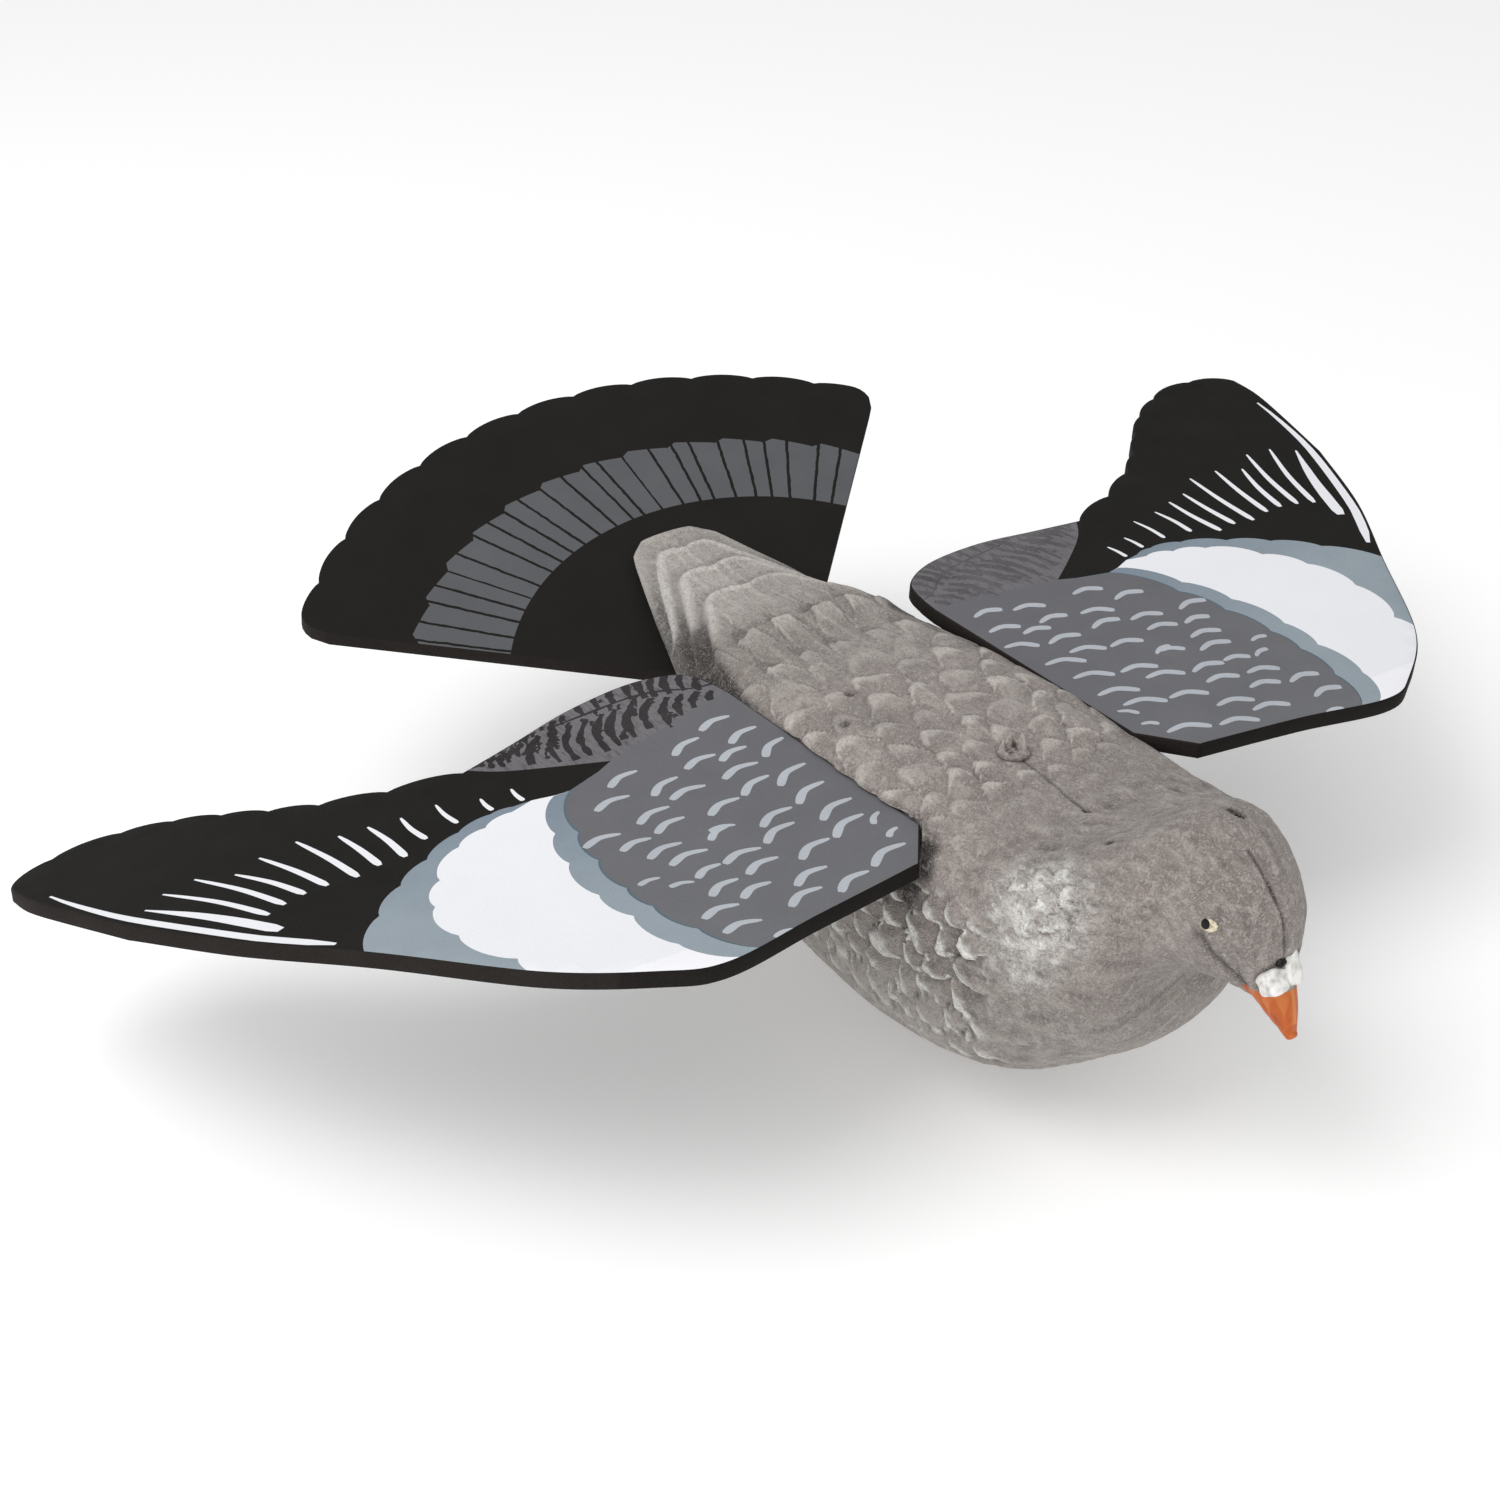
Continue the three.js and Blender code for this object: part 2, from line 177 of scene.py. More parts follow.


# Flocked ABS: short nylon fibres glued upright on the moulded shell. It has no shine, a soft pale edge
# where it turns away and a speckle of about 1 mm; its ridges are paled, partly with painted highlight, and
# its hollows darkened with painted shade.
def flockedPlastic():
    material, tree, place = newMaterial("flockedPlastic", {
        "Roughness": 0.95, "Sheen Weight": 0.22, "Sheen Roughness": 0.45, "Specular IOR Level": 0.15})
    combed = addNode(tree, "ShaderNodeMapping", {"Vector": place, "Scale": (1.0, 0.3, 0.7)})
    pattern = {name: addNode(tree, "ShaderNodeAttribute", attribute_name=name).outputs["Fac"]
               for name in ("rim", "toneAndShade", "down", "green")}
    for name, vector, detail, distortion in (("patch", place, 1.0, 0.0), ("mottle", place, 3.0, 0.8),
                                             ("fibre", place, 3.0, 1.8), ("nap", combed, 3.0, 0.5)):
        scale = 1 / (flockLook[name + "Size"] * mm)
        pattern[name] = addNode(tree, "ShaderNodeTexNoise", {
            "Vector": vector, "Scale": scale, "Detail": detail, "Distortion": distortion})
    # Each coat of colour: the pattern that shows it, from where to where, how strongly, in which places.
    coats = []
    # The rim coat, where the rim attribute shows, is partly painted highlight; the dark coat, where its
    # attribute shows, is painted shade.
    for tint, shown, low, high, most, where in (
            ("flock", "patch", 0.38, 0.62, 1.0, None), ("green", "patch", 0.2, 0.65, 1.0, "green"),
            ("speck", "mottle", 0.54, 0.74, 0.2, None), ("rim", "mottle", 0.46, 0.28, 0.25, None),
            ("rim", "fibre", 0.25, 0.5, 1.0, "rim"), ("toneAndShade", "mottle", 0.1, 0.45, 1.0, "toneAndShade"),
            ("down", "nap", 0.25, 0.5, 1.0, "down"), ("speck", "fibre", 0.5, 0.62, 0.42, None),
            ("rim", "fibre", 0.48, 0.36, 0.34, None), ("speck", "nap", 0.54, 0.68, 0.3, None)):
        share = addNode(tree, "ShaderNodeMapRange", {
            "Value": pattern[shown], "From Min": low, "From Max": high, "To Max": most})
        if where:
            share = addNode(tree, "ShaderNodeMath", {0: pattern[where], 1: share}, operation="MULTIPLY")
        coats.append((share, flockLook[tint]))
    height = 0.0
    for name, weight in (("fibre", -0.9), ("nap", -0.5), ("mottle", -0.9)):
        height = addNode(tree, "ShaderNodeMath", {0: pattern[name], 1: weight, 2: height},
                         operation="MULTIPLY_ADD")
    return finish(material, toLinear(flockLook["cool"]), coats, height, 0.85, 1.3)


# Enamel brushed thinly on the moulded beak: satin, with painted shade in its grooves and a painted highlight
# along its ridge.
def beakEnamel(first, second, shadeTint, wearAndHighlight):
    material, tree, place = newMaterial("beakEnamel", {"Roughness": 0.42, "Specular IOR Level": 0.4})
    strokes = addNode(tree, "ShaderNodeTexNoise", {"Vector": place, "Scale": 1 / (2.0 * mm), "Detail": 3.0})
    toneAndShade, rim = (addNode(tree, "ShaderNodeAttribute", attribute_name=name).outputs["Fac"]
                   for name in ("toneAndShade", "rim"))
    # The third coat is painted shade in the grooves, the last a painted highlight on the ridge.
    coats = [(strokes, second), (toneAndShade, shadeTint), (rim, wearAndHighlight)]
    return finish(material, toLinear(first), coats, strokes, 0.3, 0.4)


# Chalky primer dabbed on the cere by hand: matt white with greyish thin spots.
def chalkPaint(white, thinned):
    material, tree, place = newMaterial("chalkPaint", {"Roughness": 0.85, "Specular IOR Level": 0.25})
    dabs = addNode(tree, "ShaderNodeTexNoise", {"Vector": place, "Scale": 1 / (2.5 * mm), "Detail": 4.0})
    thin = addNode(tree, "ShaderNodeMapRange", {"Value": dabs, "From Min": 0.42, "From Max": 0.7})
    return finish(material, toLinear(white), [(thin, thinned)], dabs, 0.6, 0.8)


# Gloss lacquer on the eye: smooth and wet looking, with a faint mottle in the ring of the iris.
def eyeLacquer(name, dark, light):
    material, tree, place = newMaterial(name, {"Roughness": 0.22, "Specular IOR Level": 0.25})
    mottle = addNode(tree, "ShaderNodeTexNoise", {"Vector": place, "Scale": 1 / (0.8 * mm), "Detail": 2.0})
    share = addNode(tree, "ShaderNodeMapRange", {"Value": mottle, "From Min": 0.3, "From Max": 0.6})
    return finish(material, toLinear(dark), [(share, light)])


foamLook = {"surface": {"Roughness": 0.82, "Specular IOR Level": 0.12}, "cells": 0.8, "clouds": 18.0,   # mm
            "relief": (0.35, 0.4)}   # strength, and depth in mm


# Closed-cell EVA foam, screen printed: flat matt ink over cells of about 0.4 mm, drawn at 0.8 mm to show.
# The colour runs from one tint to the other along the board's own drawing, given in its UV map.
def printedFoam(name, first, second, along=(0.0, 1.0, 0.0), mottled=0.04, streaks=0.0):
    material, tree, place = newMaterial(name, foamLook["surface"])
    drawing = addNode(tree, "ShaderNodeUVMap", uv_map="UVMap")
    run = addNode(tree, "ShaderNodeVectorMath", {0: drawing, 1: along[:2] + (0.0,)}, operation="DOT_PRODUCT")
    share = addNode(tree, "ShaderNodeMath", {0: run, 1: along[2]}, operation="ADD", use_clamp=True)
    tint = addNode(tree, "ShaderNodeMix", {0: share, 6: toLinear(first), 7: toLinear(second)},
                   data_type="RGBA")
    cells, clouds = (addNode(tree, "ShaderNodeTexNoise", {"Vector": place, "Scale": 1 / (foamLook[size] * mm),
                                                          "Detail": detail})
                     for size, detail in (("cells", 2.0), ("clouds", 4.0)))
    both = addNode(tree, "ShaderNodeMath", {0: cells, 1: clouds}, operation="ADD")
    factor = addNode(tree, "ShaderNodeMapRange", {"Value": both, "From Min": 0.6, "From Max": 1.4,
                                                  "To Min": 1 - 2 * mottled, "To Max": 1 + 2 * mottled})
    if streaks:
        # Ragged pen strokes, 1 mm wide, that lie along the board's own short feathers.
        combed = addNode(tree, "ShaderNodeMapping", {"Vector": drawing, "Rotation": (0, 0, 0.45),
                                                     "Scale": (1 / 1.3, 1 / 9.0, 1.0)})
        strokes = addNode(tree, "ShaderNodeTexNoise", {"Vector": combed, "Scale": 1.0, "Detail": 5.0,
                                                       "Roughness": 0.7})
        line = addNode(tree, "ShaderNodeMapRange", {"Value": strokes, "From Min": 0.5, "From Max": 0.66,
                                                    "To Min": 1.0, "To Max": 1 - streaks})
        factor = addNode(tree, "ShaderNodeMath", {0: factor, 1: line}, operation="MULTIPLY")
    shaded = addNode(tree, "ShaderNodeVectorMath", {0: tint, "Scale": factor}, operation="SCALE")
    return finish(material, shaded, [], cells, *foamLook["relief"])


finishes = {
    "flock": flockedPlastic(),
    "beak": beakEnamel("#ac4c0b", "#c76119", "#6e2b0e", "#d98a45"),
    "cere": chalkPaint("#eceae7", "#b9b6b1"),
    "pupil": eyeLacquer("pupilLacquer", "#060505", "#120e0c"),
    "iris": eyeLacquer("irisLacquer", "#8f846a", "#dbd1b8"),
    "foam": printedFoam("blackFoam", "#131211", "#1b1a18", mottled=0.12),
    "edge": printedFoam("foamEdge", "#1d1a18", "#262220", mottled=0.16),
    "blue": printedFoam("blueInk", "#929da5", "#7c8894", along=(-0.006, 0.012, 0.05)),
    "white": printedFoam("whiteInk", "#f1f1f5", "#e9eaee", mottled=0.01),
    "slate": printedFoam("slateInk", "#68686c", "#717275", along=(0.002, -0.004, 0.4)),
    "line": printedFoam("slateLine", "#59666f", "#5d6a73"),
    "flight": printedFoam("flightInk", "#7b787c", "#6f6c70", mottled=0.08, streaks=0.45),
    "tick": printedFoam("tickInk", "#b6bac1", "#b0b4bb"),
    "dark": printedFoam("darkInk", "#262425", "#343132", mottled=0.25),
    "faint": printedFoam("inkWithPaintedSheen", "#4f4d4f", "#5b595b", mottled=0.2),   # the left wing's strokes, lightened as painted sheen
}
print("finishes made")


# Body

bodyLook = {
    "rowSpacing": 1.2,         # mm from row to row along the body
    "headRows": 20,            # rows in each span of the beak and face
    "pointsOnTop": 105,        # on a side, over the back and flank
    "pointsBelow": 25,
    # Feathers: where they start and their pitch, in mm, its growth per mm, their width in pitches, and how
    # round they end.
    "back": (84.0, 9.0, 0.058, 1.15, 0.9), "flank": (100.0, 10.2, 0.012, 1.25, 0.9),
    "coverts": (205.0, 24.0, 0.03, 0.62, 1.3), "tufts": (100.0, 7.6, 0.004, 1.0, 0.9),
    "featherLift": 2.0,
    "tailTips": ((166.0, 12.5), (147.0, 14.5), (125.5, 18.0), (88.0, 26.0)),   # place along, half width
    "tailSlant": 1.9,          # mm forwards for a mm outwards, along the layers' sides
    "tailStepHeight": 2.5,
    # Shafts of the long tail coverts: mm from the middle, strength.
    "shafts": ((0.0, 0.8), (-7.5, 0.6), (7.5, 0.6), (-16.0, 0.55), (16.0, 0.55), (-25.0, 0.5), (25.0, 0.5)),
    "pits": (((-3.8, -73.5, 107.6), 2.1, 1.3), ((-20.6, -101.2, 116.5), 2.2, 0.7),   # place, radius, depth
             ((-21.8, 28.9, 110.4), 3.2, 1.6), ((-34.9, 15.0, 109.7), 2.8, 1.2)),
    # The matted patch on the right shoulder: place, radius, at which share it is full, strength.
    "patch": (((-47.0, -99.0, 100.5), 25.0, 0.75, 1.0), ((-53.0, -98.0, 84.0), 19.0, 0.8, 0.75)),
    # The line of the painted shadow beside the tail, cast by the board's rear corner.
    "tailShadowLine": [(47, 74), (42, 92), (39, 110)],   # beside the tail: mm from the middle, mm along
    "crownSlot": ((1.5, -131.6, 134.8), (1.7, 3.3, 7.0), 0.22),   # place, half sizes, how far askew
    "slotGap": 1.0,            # mm of air round a board
    "sharpFrom": math.radians(60),
}

# Lines in the shell, seen from the side (1) or from above (0): their places and half width, from which
# height up, the lift of the surface and its power, the darkening and its power, and the lightening.
bodyLines = [
    # the crease from the eye down to the gape, the edge of the cere, and where the beak opens, each darkened
    # with painted shade
    (1, [(-141.5, 104.5), (-144.2, 100.5), (-147.5, 96.5), (-150.4, 92.2), (-152.3, 87.5)], 3.0,
     0, -1.3, 1.5, 0.75, 1.4, 0.0),
    (1, [(-156.6, 91.8), (-158.1, 95.2), (-159.3, 96.5), (-159.9, 97.8)], 1.4, 0, -0.5, 1, 0.9, 1.3, 0.0),
    (1, [(bodyY(0.6), 21.8 * unit), (bodyY(2.2), 23.1 * unit), (bodyY(4.2), 24.9 * unit)], 0.8,
     0, -0.4, 1, 0.3, 1, 0.0),
    # the mould's seam along the neck and the brow, and its joint along the back
    (0, [(-0.8, -38), (-1.0, -52), (-3.6, -73)], 0.9, 90, -0.6, 1, 0.85, 1, 0.0),
    (0, [(-5.0, -143), (-4.6, -150), (-3.2, -156), (-2.2, -159.5)], 0.8, 97, -0.6, 1, 0.85, 1, 0.0),
    (0, [(-0.4, -26), (0.6, 24)], 1.3, 90, 0.5, 1, 0.0, 1, 0.6),
]

# back, up, lowBack, low, half, wide, box of the sections, as in the part's source.
bodyStations = np.array([
    (0, 21.2, 0.5, 20.5, 0.5, 0.5, 2), (0.4, 23.8, 2.7, 21.6, 1.2, 0.5, 2), (1.2, 26.4, 4.8, 23, 2, 0.5, 2),
    (1.8, 29.4, 6.8, 23.4, 3.6, 0.5, 2), (2.5, 33, 9.4, 23, 5.2, 0.5, 2),
    (5.2, 36.9, 12.4, 21.8, 6.6, 0.5, 2), (9.3, 39.3, 13.3, 19.4, 8.2, 0.44, 2),
    (13, 38.9, 13.1, 16.4, 10.6, 0.42, 2), (16.5, 36.4, 14.2, 12.4, 12.9, 0.54, 2.2),
    (20.8, 33.2, 18.6, 8.2, 15.2, 0.66, 2.8), (26.5, 31.4, 24.6, 3.8, 16.4, 0.7, 3.5),
    (33.2, 31.4, 32.4, 0.8, 16.9, 0.69, 3.8), (41.1, 32, 41.1, -0.6, 16.9, 0.68, 4),
    (51.3, 32.3, 51.9, -0.8, 16.3, 0.7, 4), (61.5, 32.1, 62.4, 0.6, 15.4, 0.72, 3.8),
    (71.7, 31.6, 71.7, 8.2, 14.1, 0.7, 3.5), (79, 31.2, 80, 20.4, 12.4, 0.6, 2.8),
    (86.3, 31.2, 87.7, 27, 10.2, 0.45, 2.4), (92.7, 31.7, 93.9, 29, 7.8, 0.45, 2.3),
    (97.8, 32.3, 98.4, 30.3, 5.8, 0.5, 2.2), (99.8, 32.3, 100, 31.4, 3.6, 0.5, 2),
])


# A point on the smooth curve through these points, with knots spaced by the root of their distances.
def curveAt(points, t):
    count = len(points)
    place = t * (count - 1)
    i = min(int(place), count - 2)
    weight = place - i
    p1, p2 = points[i], points[i + 1]
    p0 = points[i - 1] if i > 0 else 2 * points[0] - points[1]
    p3 = points[i + 2] if i + 2 < count else 2 * points[-1] - points[-2]
    d0, d1, d2 = (max(np.linalg.norm(a - b) ** 0.5, 1e-4) for a, b in ((p0, p1), (p1, p2), (p2, p3)))
    m1 = ((p1 - p0) / d0 - (p2 - p0) / (d0 + d1) + (p2 - p1) / d1) * d1
    m2 = ((p2 - p1) / d1 - (p3 - p1) / (d1 + d2) + (p3 - p2) / d2) * d1
    w2, w3 = weight ** 2, weight ** 3
    return p1 + m1 * weight + (3 * (p2 - p1) - 2 * m1 - m2) * w2 + (2 * (p1 - p2) + m1 + m2) * w3


# One side of a section from the top down, as x and height, with most of the points over back and flank.
def sectionSide(half, height, wide, box):
    angle = np.linspace(0, math.pi, 241)
    upper = angle < math.pi / 2
    n = np.where(upper, box, 1 + box / 2)
    x = half * np.sin(angle).clip(0) ** (2 / n)
    cosine = np.cos(angle)
    z = height * (wide + np.where(upper, 1 - wide, wide) * np.sign(cosine) * np.abs(cosine) ** (2 / n))
    run = np.concatenate([[0], np.cumsum(np.hypot(np.diff(x), np.diff(z)))])
    top, below = bodyLook["pointsOnTop"], bodyLook["pointsBelow"]
    share = np.concatenate([0.55 * (np.arange(top) / top) ** 1.1, 0.55 + 0.45 * np.arange(below + 1) / below])
    at = share * run[-1]
    return np.interp(at, run, x), np.interp(at, run, z), at


# Staggered moulded feathers of one kind. Returns their height, their pale rim, partly painted highlight, and
# the painted shade in their gap, each from 0 to 1.
def featherScales(lengthwise, across, kind):
    start, pitch, growth, widthInPitches, roundness = bodyLook[kind]
    local = np.maximum(pitch + growth * (lengthwise - start), pitch * 0.7)
    along = np.log(local / pitch) / growth
    column = across / (widthInPitches * local)

    def edgeOf(row):
        shifted = column + np.where(np.mod(row, 2) == 0, 0.0, 0.5)
        fromMiddle = 2 * (shifted - np.round(shifted))
        return row + roundness * (1 - fromMiddle ** 2), np.round(shifted)

    row = np.floor(along)
    row = np.where(edgeOf(row)[0] >= along, row, row + 1)
    edge, which = edgeOf(row)
    root = edgeOf(row - 1)[0]
    share = np.clip((along - root) / np.maximum(edge - root, 1e-3), 0, 1)
    chance = np.modf(np.abs(np.sin(row * 12.9898 + which * 78.233) * 43758.5453))[0]
    height = (smoothStep(0, 0.7, share) - smoothStep(0.86, 1, share)) * (0.65 + 0.6 * chance)
    rim = between(0.6, 0.82, 0.92, 1.0, share) * (0.45 + 0.75 * chance)
    gap = smoothStep(0.93, 1, share) + smoothStep(0.14, 0, share)
    return height, rim, gap


# The tail's layers step down towards its tip. Each ends in two rounded tips and runs forwards down its sides.
# Returns their height, their rims, which get painted highlight, and their tucks, which get painted shade.
def tailLayers(points):
    aside = np.abs(points[:, 0])
    slant = bodyLook["tailSlant"]
    height = np.full(len(points), -1.5)
    rim, tuck = np.zeros(len(points)), np.zeros(len(points))
    for tip, halfWidth in bodyLook["tailTips"]:
        beyond = 0.5 * (aside - halfWidth + np.hypot(aside - halfWidth, 3.0))
        notch = 0.5 * (5.0 - aside + np.hypot(5.0 - aside, 4.0))
        edge = tip + 1.0 - slant * beyond - 0.5 * notch
        inside = (edge - points[:, 1]) / np.hypot(1, slant * smoothStep(-4, 4, aside - halfWidth))
        height += smoothStep(-0.8, 1.2, inside) - 0.22 * smoothStep(2, 9, inside)
        rim = np.maximum(rim * smoothStep(0.5, -1.5, inside), between(-0.6, 0.9, 1.8, 5.0, inside))
        tuck = np.maximum(tuck * smoothStep(0.5, -1.0, inside), between(-7.5, -1.5, -1.0, 0.2, inside))
    return height * bodyLook["tailStepHeight"], rim, tuck


# How close each point is to a place, from 1 there to 0 at the radius.
def towards(points, place, radius):
    return np.clip(1 - np.linalg.norm(points - np.array(place), axis=1) / radius, 0, 1)


# The same for a line through these places.
def nearLine(flat, places, halfWidth):
    nearest = np.full(len(flat), 1e9)
    for start, end in zip(places, places[1:]):
        start, run = np.array(start, float), np.subtract(end, start)
        t = np.clip(((flat - start) @ run) / (run @ run), 0, 1)
        nearest = np.minimum(nearest, np.linalg.norm(flat - start - t[:, None] * run, axis=1))
    return np.clip(1 - nearest / halfWidth, 0, 1)


# The smooth shell: its points, their outward directions and distances round it from the top, how many rows,
# and how many points a row.
def bodyShell():
    spans = len(bodyStations) - 1
    tops, lows = (np.column_stack([bodyY(bodyStations[:, i]), bodyStations[:, i + 1] * unit]) for i in (0, 2))
    shapes = bodyStations[:, 4:] * (unit, 1, 1)
    times = []
    for span in range(spans):
        a, b = span / spans, (span + 1) / spans
        run = max(np.linalg.norm(curveAt(p, b) - curveAt(p, a)) for p in (tops, lows))
        rows = max(bodyLook["headRows"] if span < 4 else 2, round(run / bodyLook["rowSpacing"]))
        times += [(span + r / rows) / spans for r in range(rows)]
    times.append(1.0)
    points, outward, across = [], [], []
    for t in times:
        top, low, (half, wide, box) = curveAt(tops, t), curveAt(lows, t), curveAt(shapes, t)
        height = np.linalg.norm(top - low)
        rise = (top - low) / height
        x, z, run = sectionSide(max(half, 0.4), height, wide, max(box, 1.6))
        x = np.concatenate([x, -x[-2:0:-1]])
        z = np.concatenate([z, z[-2:0:-1]])
        across.append(np.concatenate([run, -run[-2:0:-1]]))
        points.append(np.stack([x, low[0] + rise[0] * z, low[1] + rise[1] * z], axis=1))
        out = np.stack([np.roll(z, 1) - np.roll(z, -1), np.roll(x, -1) - np.roll(x, 1)], axis=1)
        out /= np.linalg.norm(out, axis=1)[:, None].clip(1e-9)
        outward.append(np.stack([out[:, 0], rise[0] * out[:, 1], rise[1] * out[:, 1]], axis=1))
    first, middle = points[0], points[0].mean(axis=0)
    ahead = np.array((0.0, -0.78, -0.62))
    for size in (0.95, 0.8, 0.55, 0.25):   # these rings round off the beak's tip
        points.insert(0, middle + (first - middle) * size + ahead * 1.5 * math.sqrt(1 - size ** 2))
        outward.insert(0, outward[0])
        across.insert(0, across[0])
    return np.concatenate(points), np.concatenate(outward), np.concatenate(across), len(points), len(first)


def makeBody():
    look = bodyLook
    points, outward, across, rows, count = bodyShell()
    lengthwise = points[:, 1] - bodyY(0)
    share, out, aside = lengthwise / unit, np.abs(across) / unit, np.abs(across)
    fromMiddle, up = np.abs(points[:, 0]), points[:, 2].copy()
    wander, drift = (noiseOver(points, size, seed) * 5.0 + noiseOver(points, 6.0, fineSeed) * 1.3
                     for size, seed, fineSeed in ((16.0, 3.1, 7.7), (17.0, 11.3, 5.9)))
    lumps = noiseOver(points, 7.5, 31.0)
    wearAndHighlight = smoothStep(-0.3, 0.35, noiseOver(points, 22.0, 17.0))

    # Feathers over the back, and longer ones on the flank under the wing, whose tips point back and down.
    # Their rims are paled, partly as painted highlight, and their gaps darkened with painted shade; a random
    # mask of wear scales both.
    onBack = smoothStep(16.5, 14.5, out) * between(27, 40, 58, 68, share)
    height, rim, gap = featherScales(lengthwise + wander, across + drift, "back")
    onFlank = between(17.5, 20, 34, 44, out) * between(22, 27, 66, 76, share)
    flankAlong, flankAcross = 0.7 * lengthwise + 0.7 * aside, 0.7 * aside - 0.7 * lengthwise
    flankHeight, flankRim, flankGap = featherScales(flankAlong + 1.15 * wander, flankAcross + 1.15 * drift,
                                                    "flank")
    relief = look["featherLift"] * (0.8 * height * (0.5 + 0.6 * wearAndHighlight) * onBack + 1.25 * flankHeight * onFlank)
    relief += (onBack + onFlank) * 0.5 * lumps
    pale = (0.75 + 0.9 * wearAndHighlight) * rim * onBack + 0.9 * flankRim * onFlank
    pale += 0.35 * onBack * smoothStep(0.1, 0.5, lumps)
    dark = (0.22 + 0.25 * wearAndHighlight) * gap * onBack + 0.85 * flankGap * onFlank
    dark += 0.1 * onBack * smoothStep(0.1, 0.5, -lumps)

    # Shafts of the long tail coverts, running to the tip.
    onShafts = between(58, 68, 96, 99, share) * smoothStep(16, 13, out)
    for middle, strength in look["shafts"]:
        line = middle * (1 - 0.011 * np.maximum(0, share - 62)) + 0.25 * drift
        near = np.clip(1 - np.abs(across - line) / 1.5, 0, 1) * onShafts * strength
        relief += 0.45 * near
        pale += 0.5 * near

    # Long flat coverts between back and tail, then the tail's own layers. Rims get painted highlight, on the
    # tail stronger on the lit right side, and gaps and tucks get painted shade.
    covert = between(60, 68, 77, 82, share) * smoothStep(24, 18, out)
    height, rim, gap = featherScales(lengthwise + 0.6 * wander, across + 0.6 * drift, "coverts")
    relief += 0.9 * height * covert
    pale += 0.8 * rim * covert
    dark += 0.45 * gap * covert
    onTail = between(68, 76, 97.5, 99.5, share)
    layerHeight, layerRim, layerTuck = tailLayers(points + np.outer(wander, (0, 0.2, 0)))
    sideways = smoothStep(22, 38, fromMiddle)
    litSide = np.where(points[:, 0] < 0, 1.0, 0.5)
    relief += onTail * (layerHeight + 0.5 * layerRim - (0.4 + 1.2 * sideways) * layerTuck)
    pale += (0.5 + 1.6 * layerRim) * litSide * smoothStep(72, 84, share)
    dark += (0.4 + 1.3 * sideways) * layerTuck * smoothStep(72, 78, share)
    # Beside the tail a painted shadow darkens the nap, where the board's rear corner shades it.
    tailShadow = nearLine(np.column_stack([fromMiddle, points[:, 1]]), look["tailShadowLine"], 10.0)
    tailShadow *= smoothStep(80, 92, up)
    dark += 1.15 * smoothStep(0, 0.9, tailShadow)
    pale *= 1 - 0.7 * tailShadow

    # Short soft streaks combed back over head, neck and breast.
    front, head = smoothStep(32, 26, share), smoothStep(17, 13, share)
    combed = noiseOver(np.column_stack([across, 0.32 * lengthwise, 0.3 * up]), 2.6, 21.0)
    curled = noiseOver(points + 1.6 * np.column_stack([lumps, combed, -lumps]), 5.2, 2.2)
    relief += front * (0.4 * combed + (0.7 - 0.5 * head) * curled)
    pale += front * (0.3 * smoothStep(0.15, 0.5, combed) + (0.3 - 0.25 * head) * smoothStep(0.1, 0.5, curled))
    dark += front * (0.1 + 0.28 * smoothStep(0.2, 0.55, -combed)
                     + (0.28 - 0.25 * head) * smoothStep(0.15, 0.5, -curled))

    # The matted pale patch on the right shoulder: small curled tufts of loose flock, set like the flank's
    # feathers. Painted shade fills the gaps between tufts, and the tufts' and flank feathers' rims get pale
    # down, partly as painted highlight.
    height, rim, gap = featherScales(flankAlong + 0.8 * wander + 2.6 * curled,
                                     flankAcross + 1.1 * drift + 2.8 * combed, "tufts")
    patch = np.max([strength * smoothStep(0, full, towards(points, place, radius))
                    for place, radius, full, strength in look["patch"]], axis=0)
    relief += 1.6 * patch * height * (0.6 + 0.6 * wearAndHighlight)
    dark += 0.55 * patch * gap
    down = patch * (0.5 + 0.9 * rim + 0.5 * smoothStep(0.0, 0.5, curled))
    down += 1.9 * flankRim * onFlank * smoothStep(66, 44, share)

    # The lines, a painted highlight along the ridge at the beak's tip, the pits of the release pins, and the
    # slot in the crown, a little askew; pits and slot are darkened with painted shade.
    for view, places, halfWidth, above, lift, liftPower, shade, shadePower, lighten in bodyLines:
        near = nearLine(points[:, view:view + 2], places, halfWidth) * (up > above)
        relief += lift * near ** liftPower
        dark += shade * near ** shadePower
        pale += lighten * near
    pale += 0.75 * np.clip(1 - fromMiddle / 1.3, 0, 1) * (up > 22 * unit) * (share < 1.5)
    for place, radius, depth in look["pits"]:
        pit = smoothStep(0, 0.7, towards(points, place, radius))
        relief -= depth * pit
        dark += 0.9 * pit
    place, halfSizes, askew = look["crownSlot"]
    fromSlot = points - place
    fromSlot[:, 0] += askew * fromSlot[:, 1]
    slot = smoothStep(0.0, 0.18, 1 - np.linalg.norm(fromSlot / np.array(halfSizes), axis=1)) * (up > 120)
    relief -= 3.0 * slot
    dark += 2.5 * slot

    # The shell is smooth where a board goes in, whose top slopes as its pitch says; painted shadow darkens a
    # band along the slot, the flank under the board and the gap at its front corner.
    backward = points[:, 1] - wingLook["root"][1]
    over = up - wingLook["root"][2] - backward * np.where(points[:, 0] < 0, -0.0105, 0.0314)
    atRoot = between(2, 8, 136, 146, backward) * smoothStep(30, 40, fromMiddle)
    relief *= 1 - 0.75 * atRoot * np.exp(-((over + 2) / 6) ** 2)
    dark += 0.6 * atRoot * smoothStep(6, 16, backward) * between(-1.5, 0, 0.5, 2.6, over)
    shadow = np.maximum(atRoot * between(-34, -15, -3, 0, over),
                        smoothStep(0, 0.7, towards(points, (-54.5, -53.0, 94.0), 7.0)))
    dark += 1.2 * shadow
    pale *= 1 - 0.75 * shadow
    down *= 1 - 0.8 * shadow

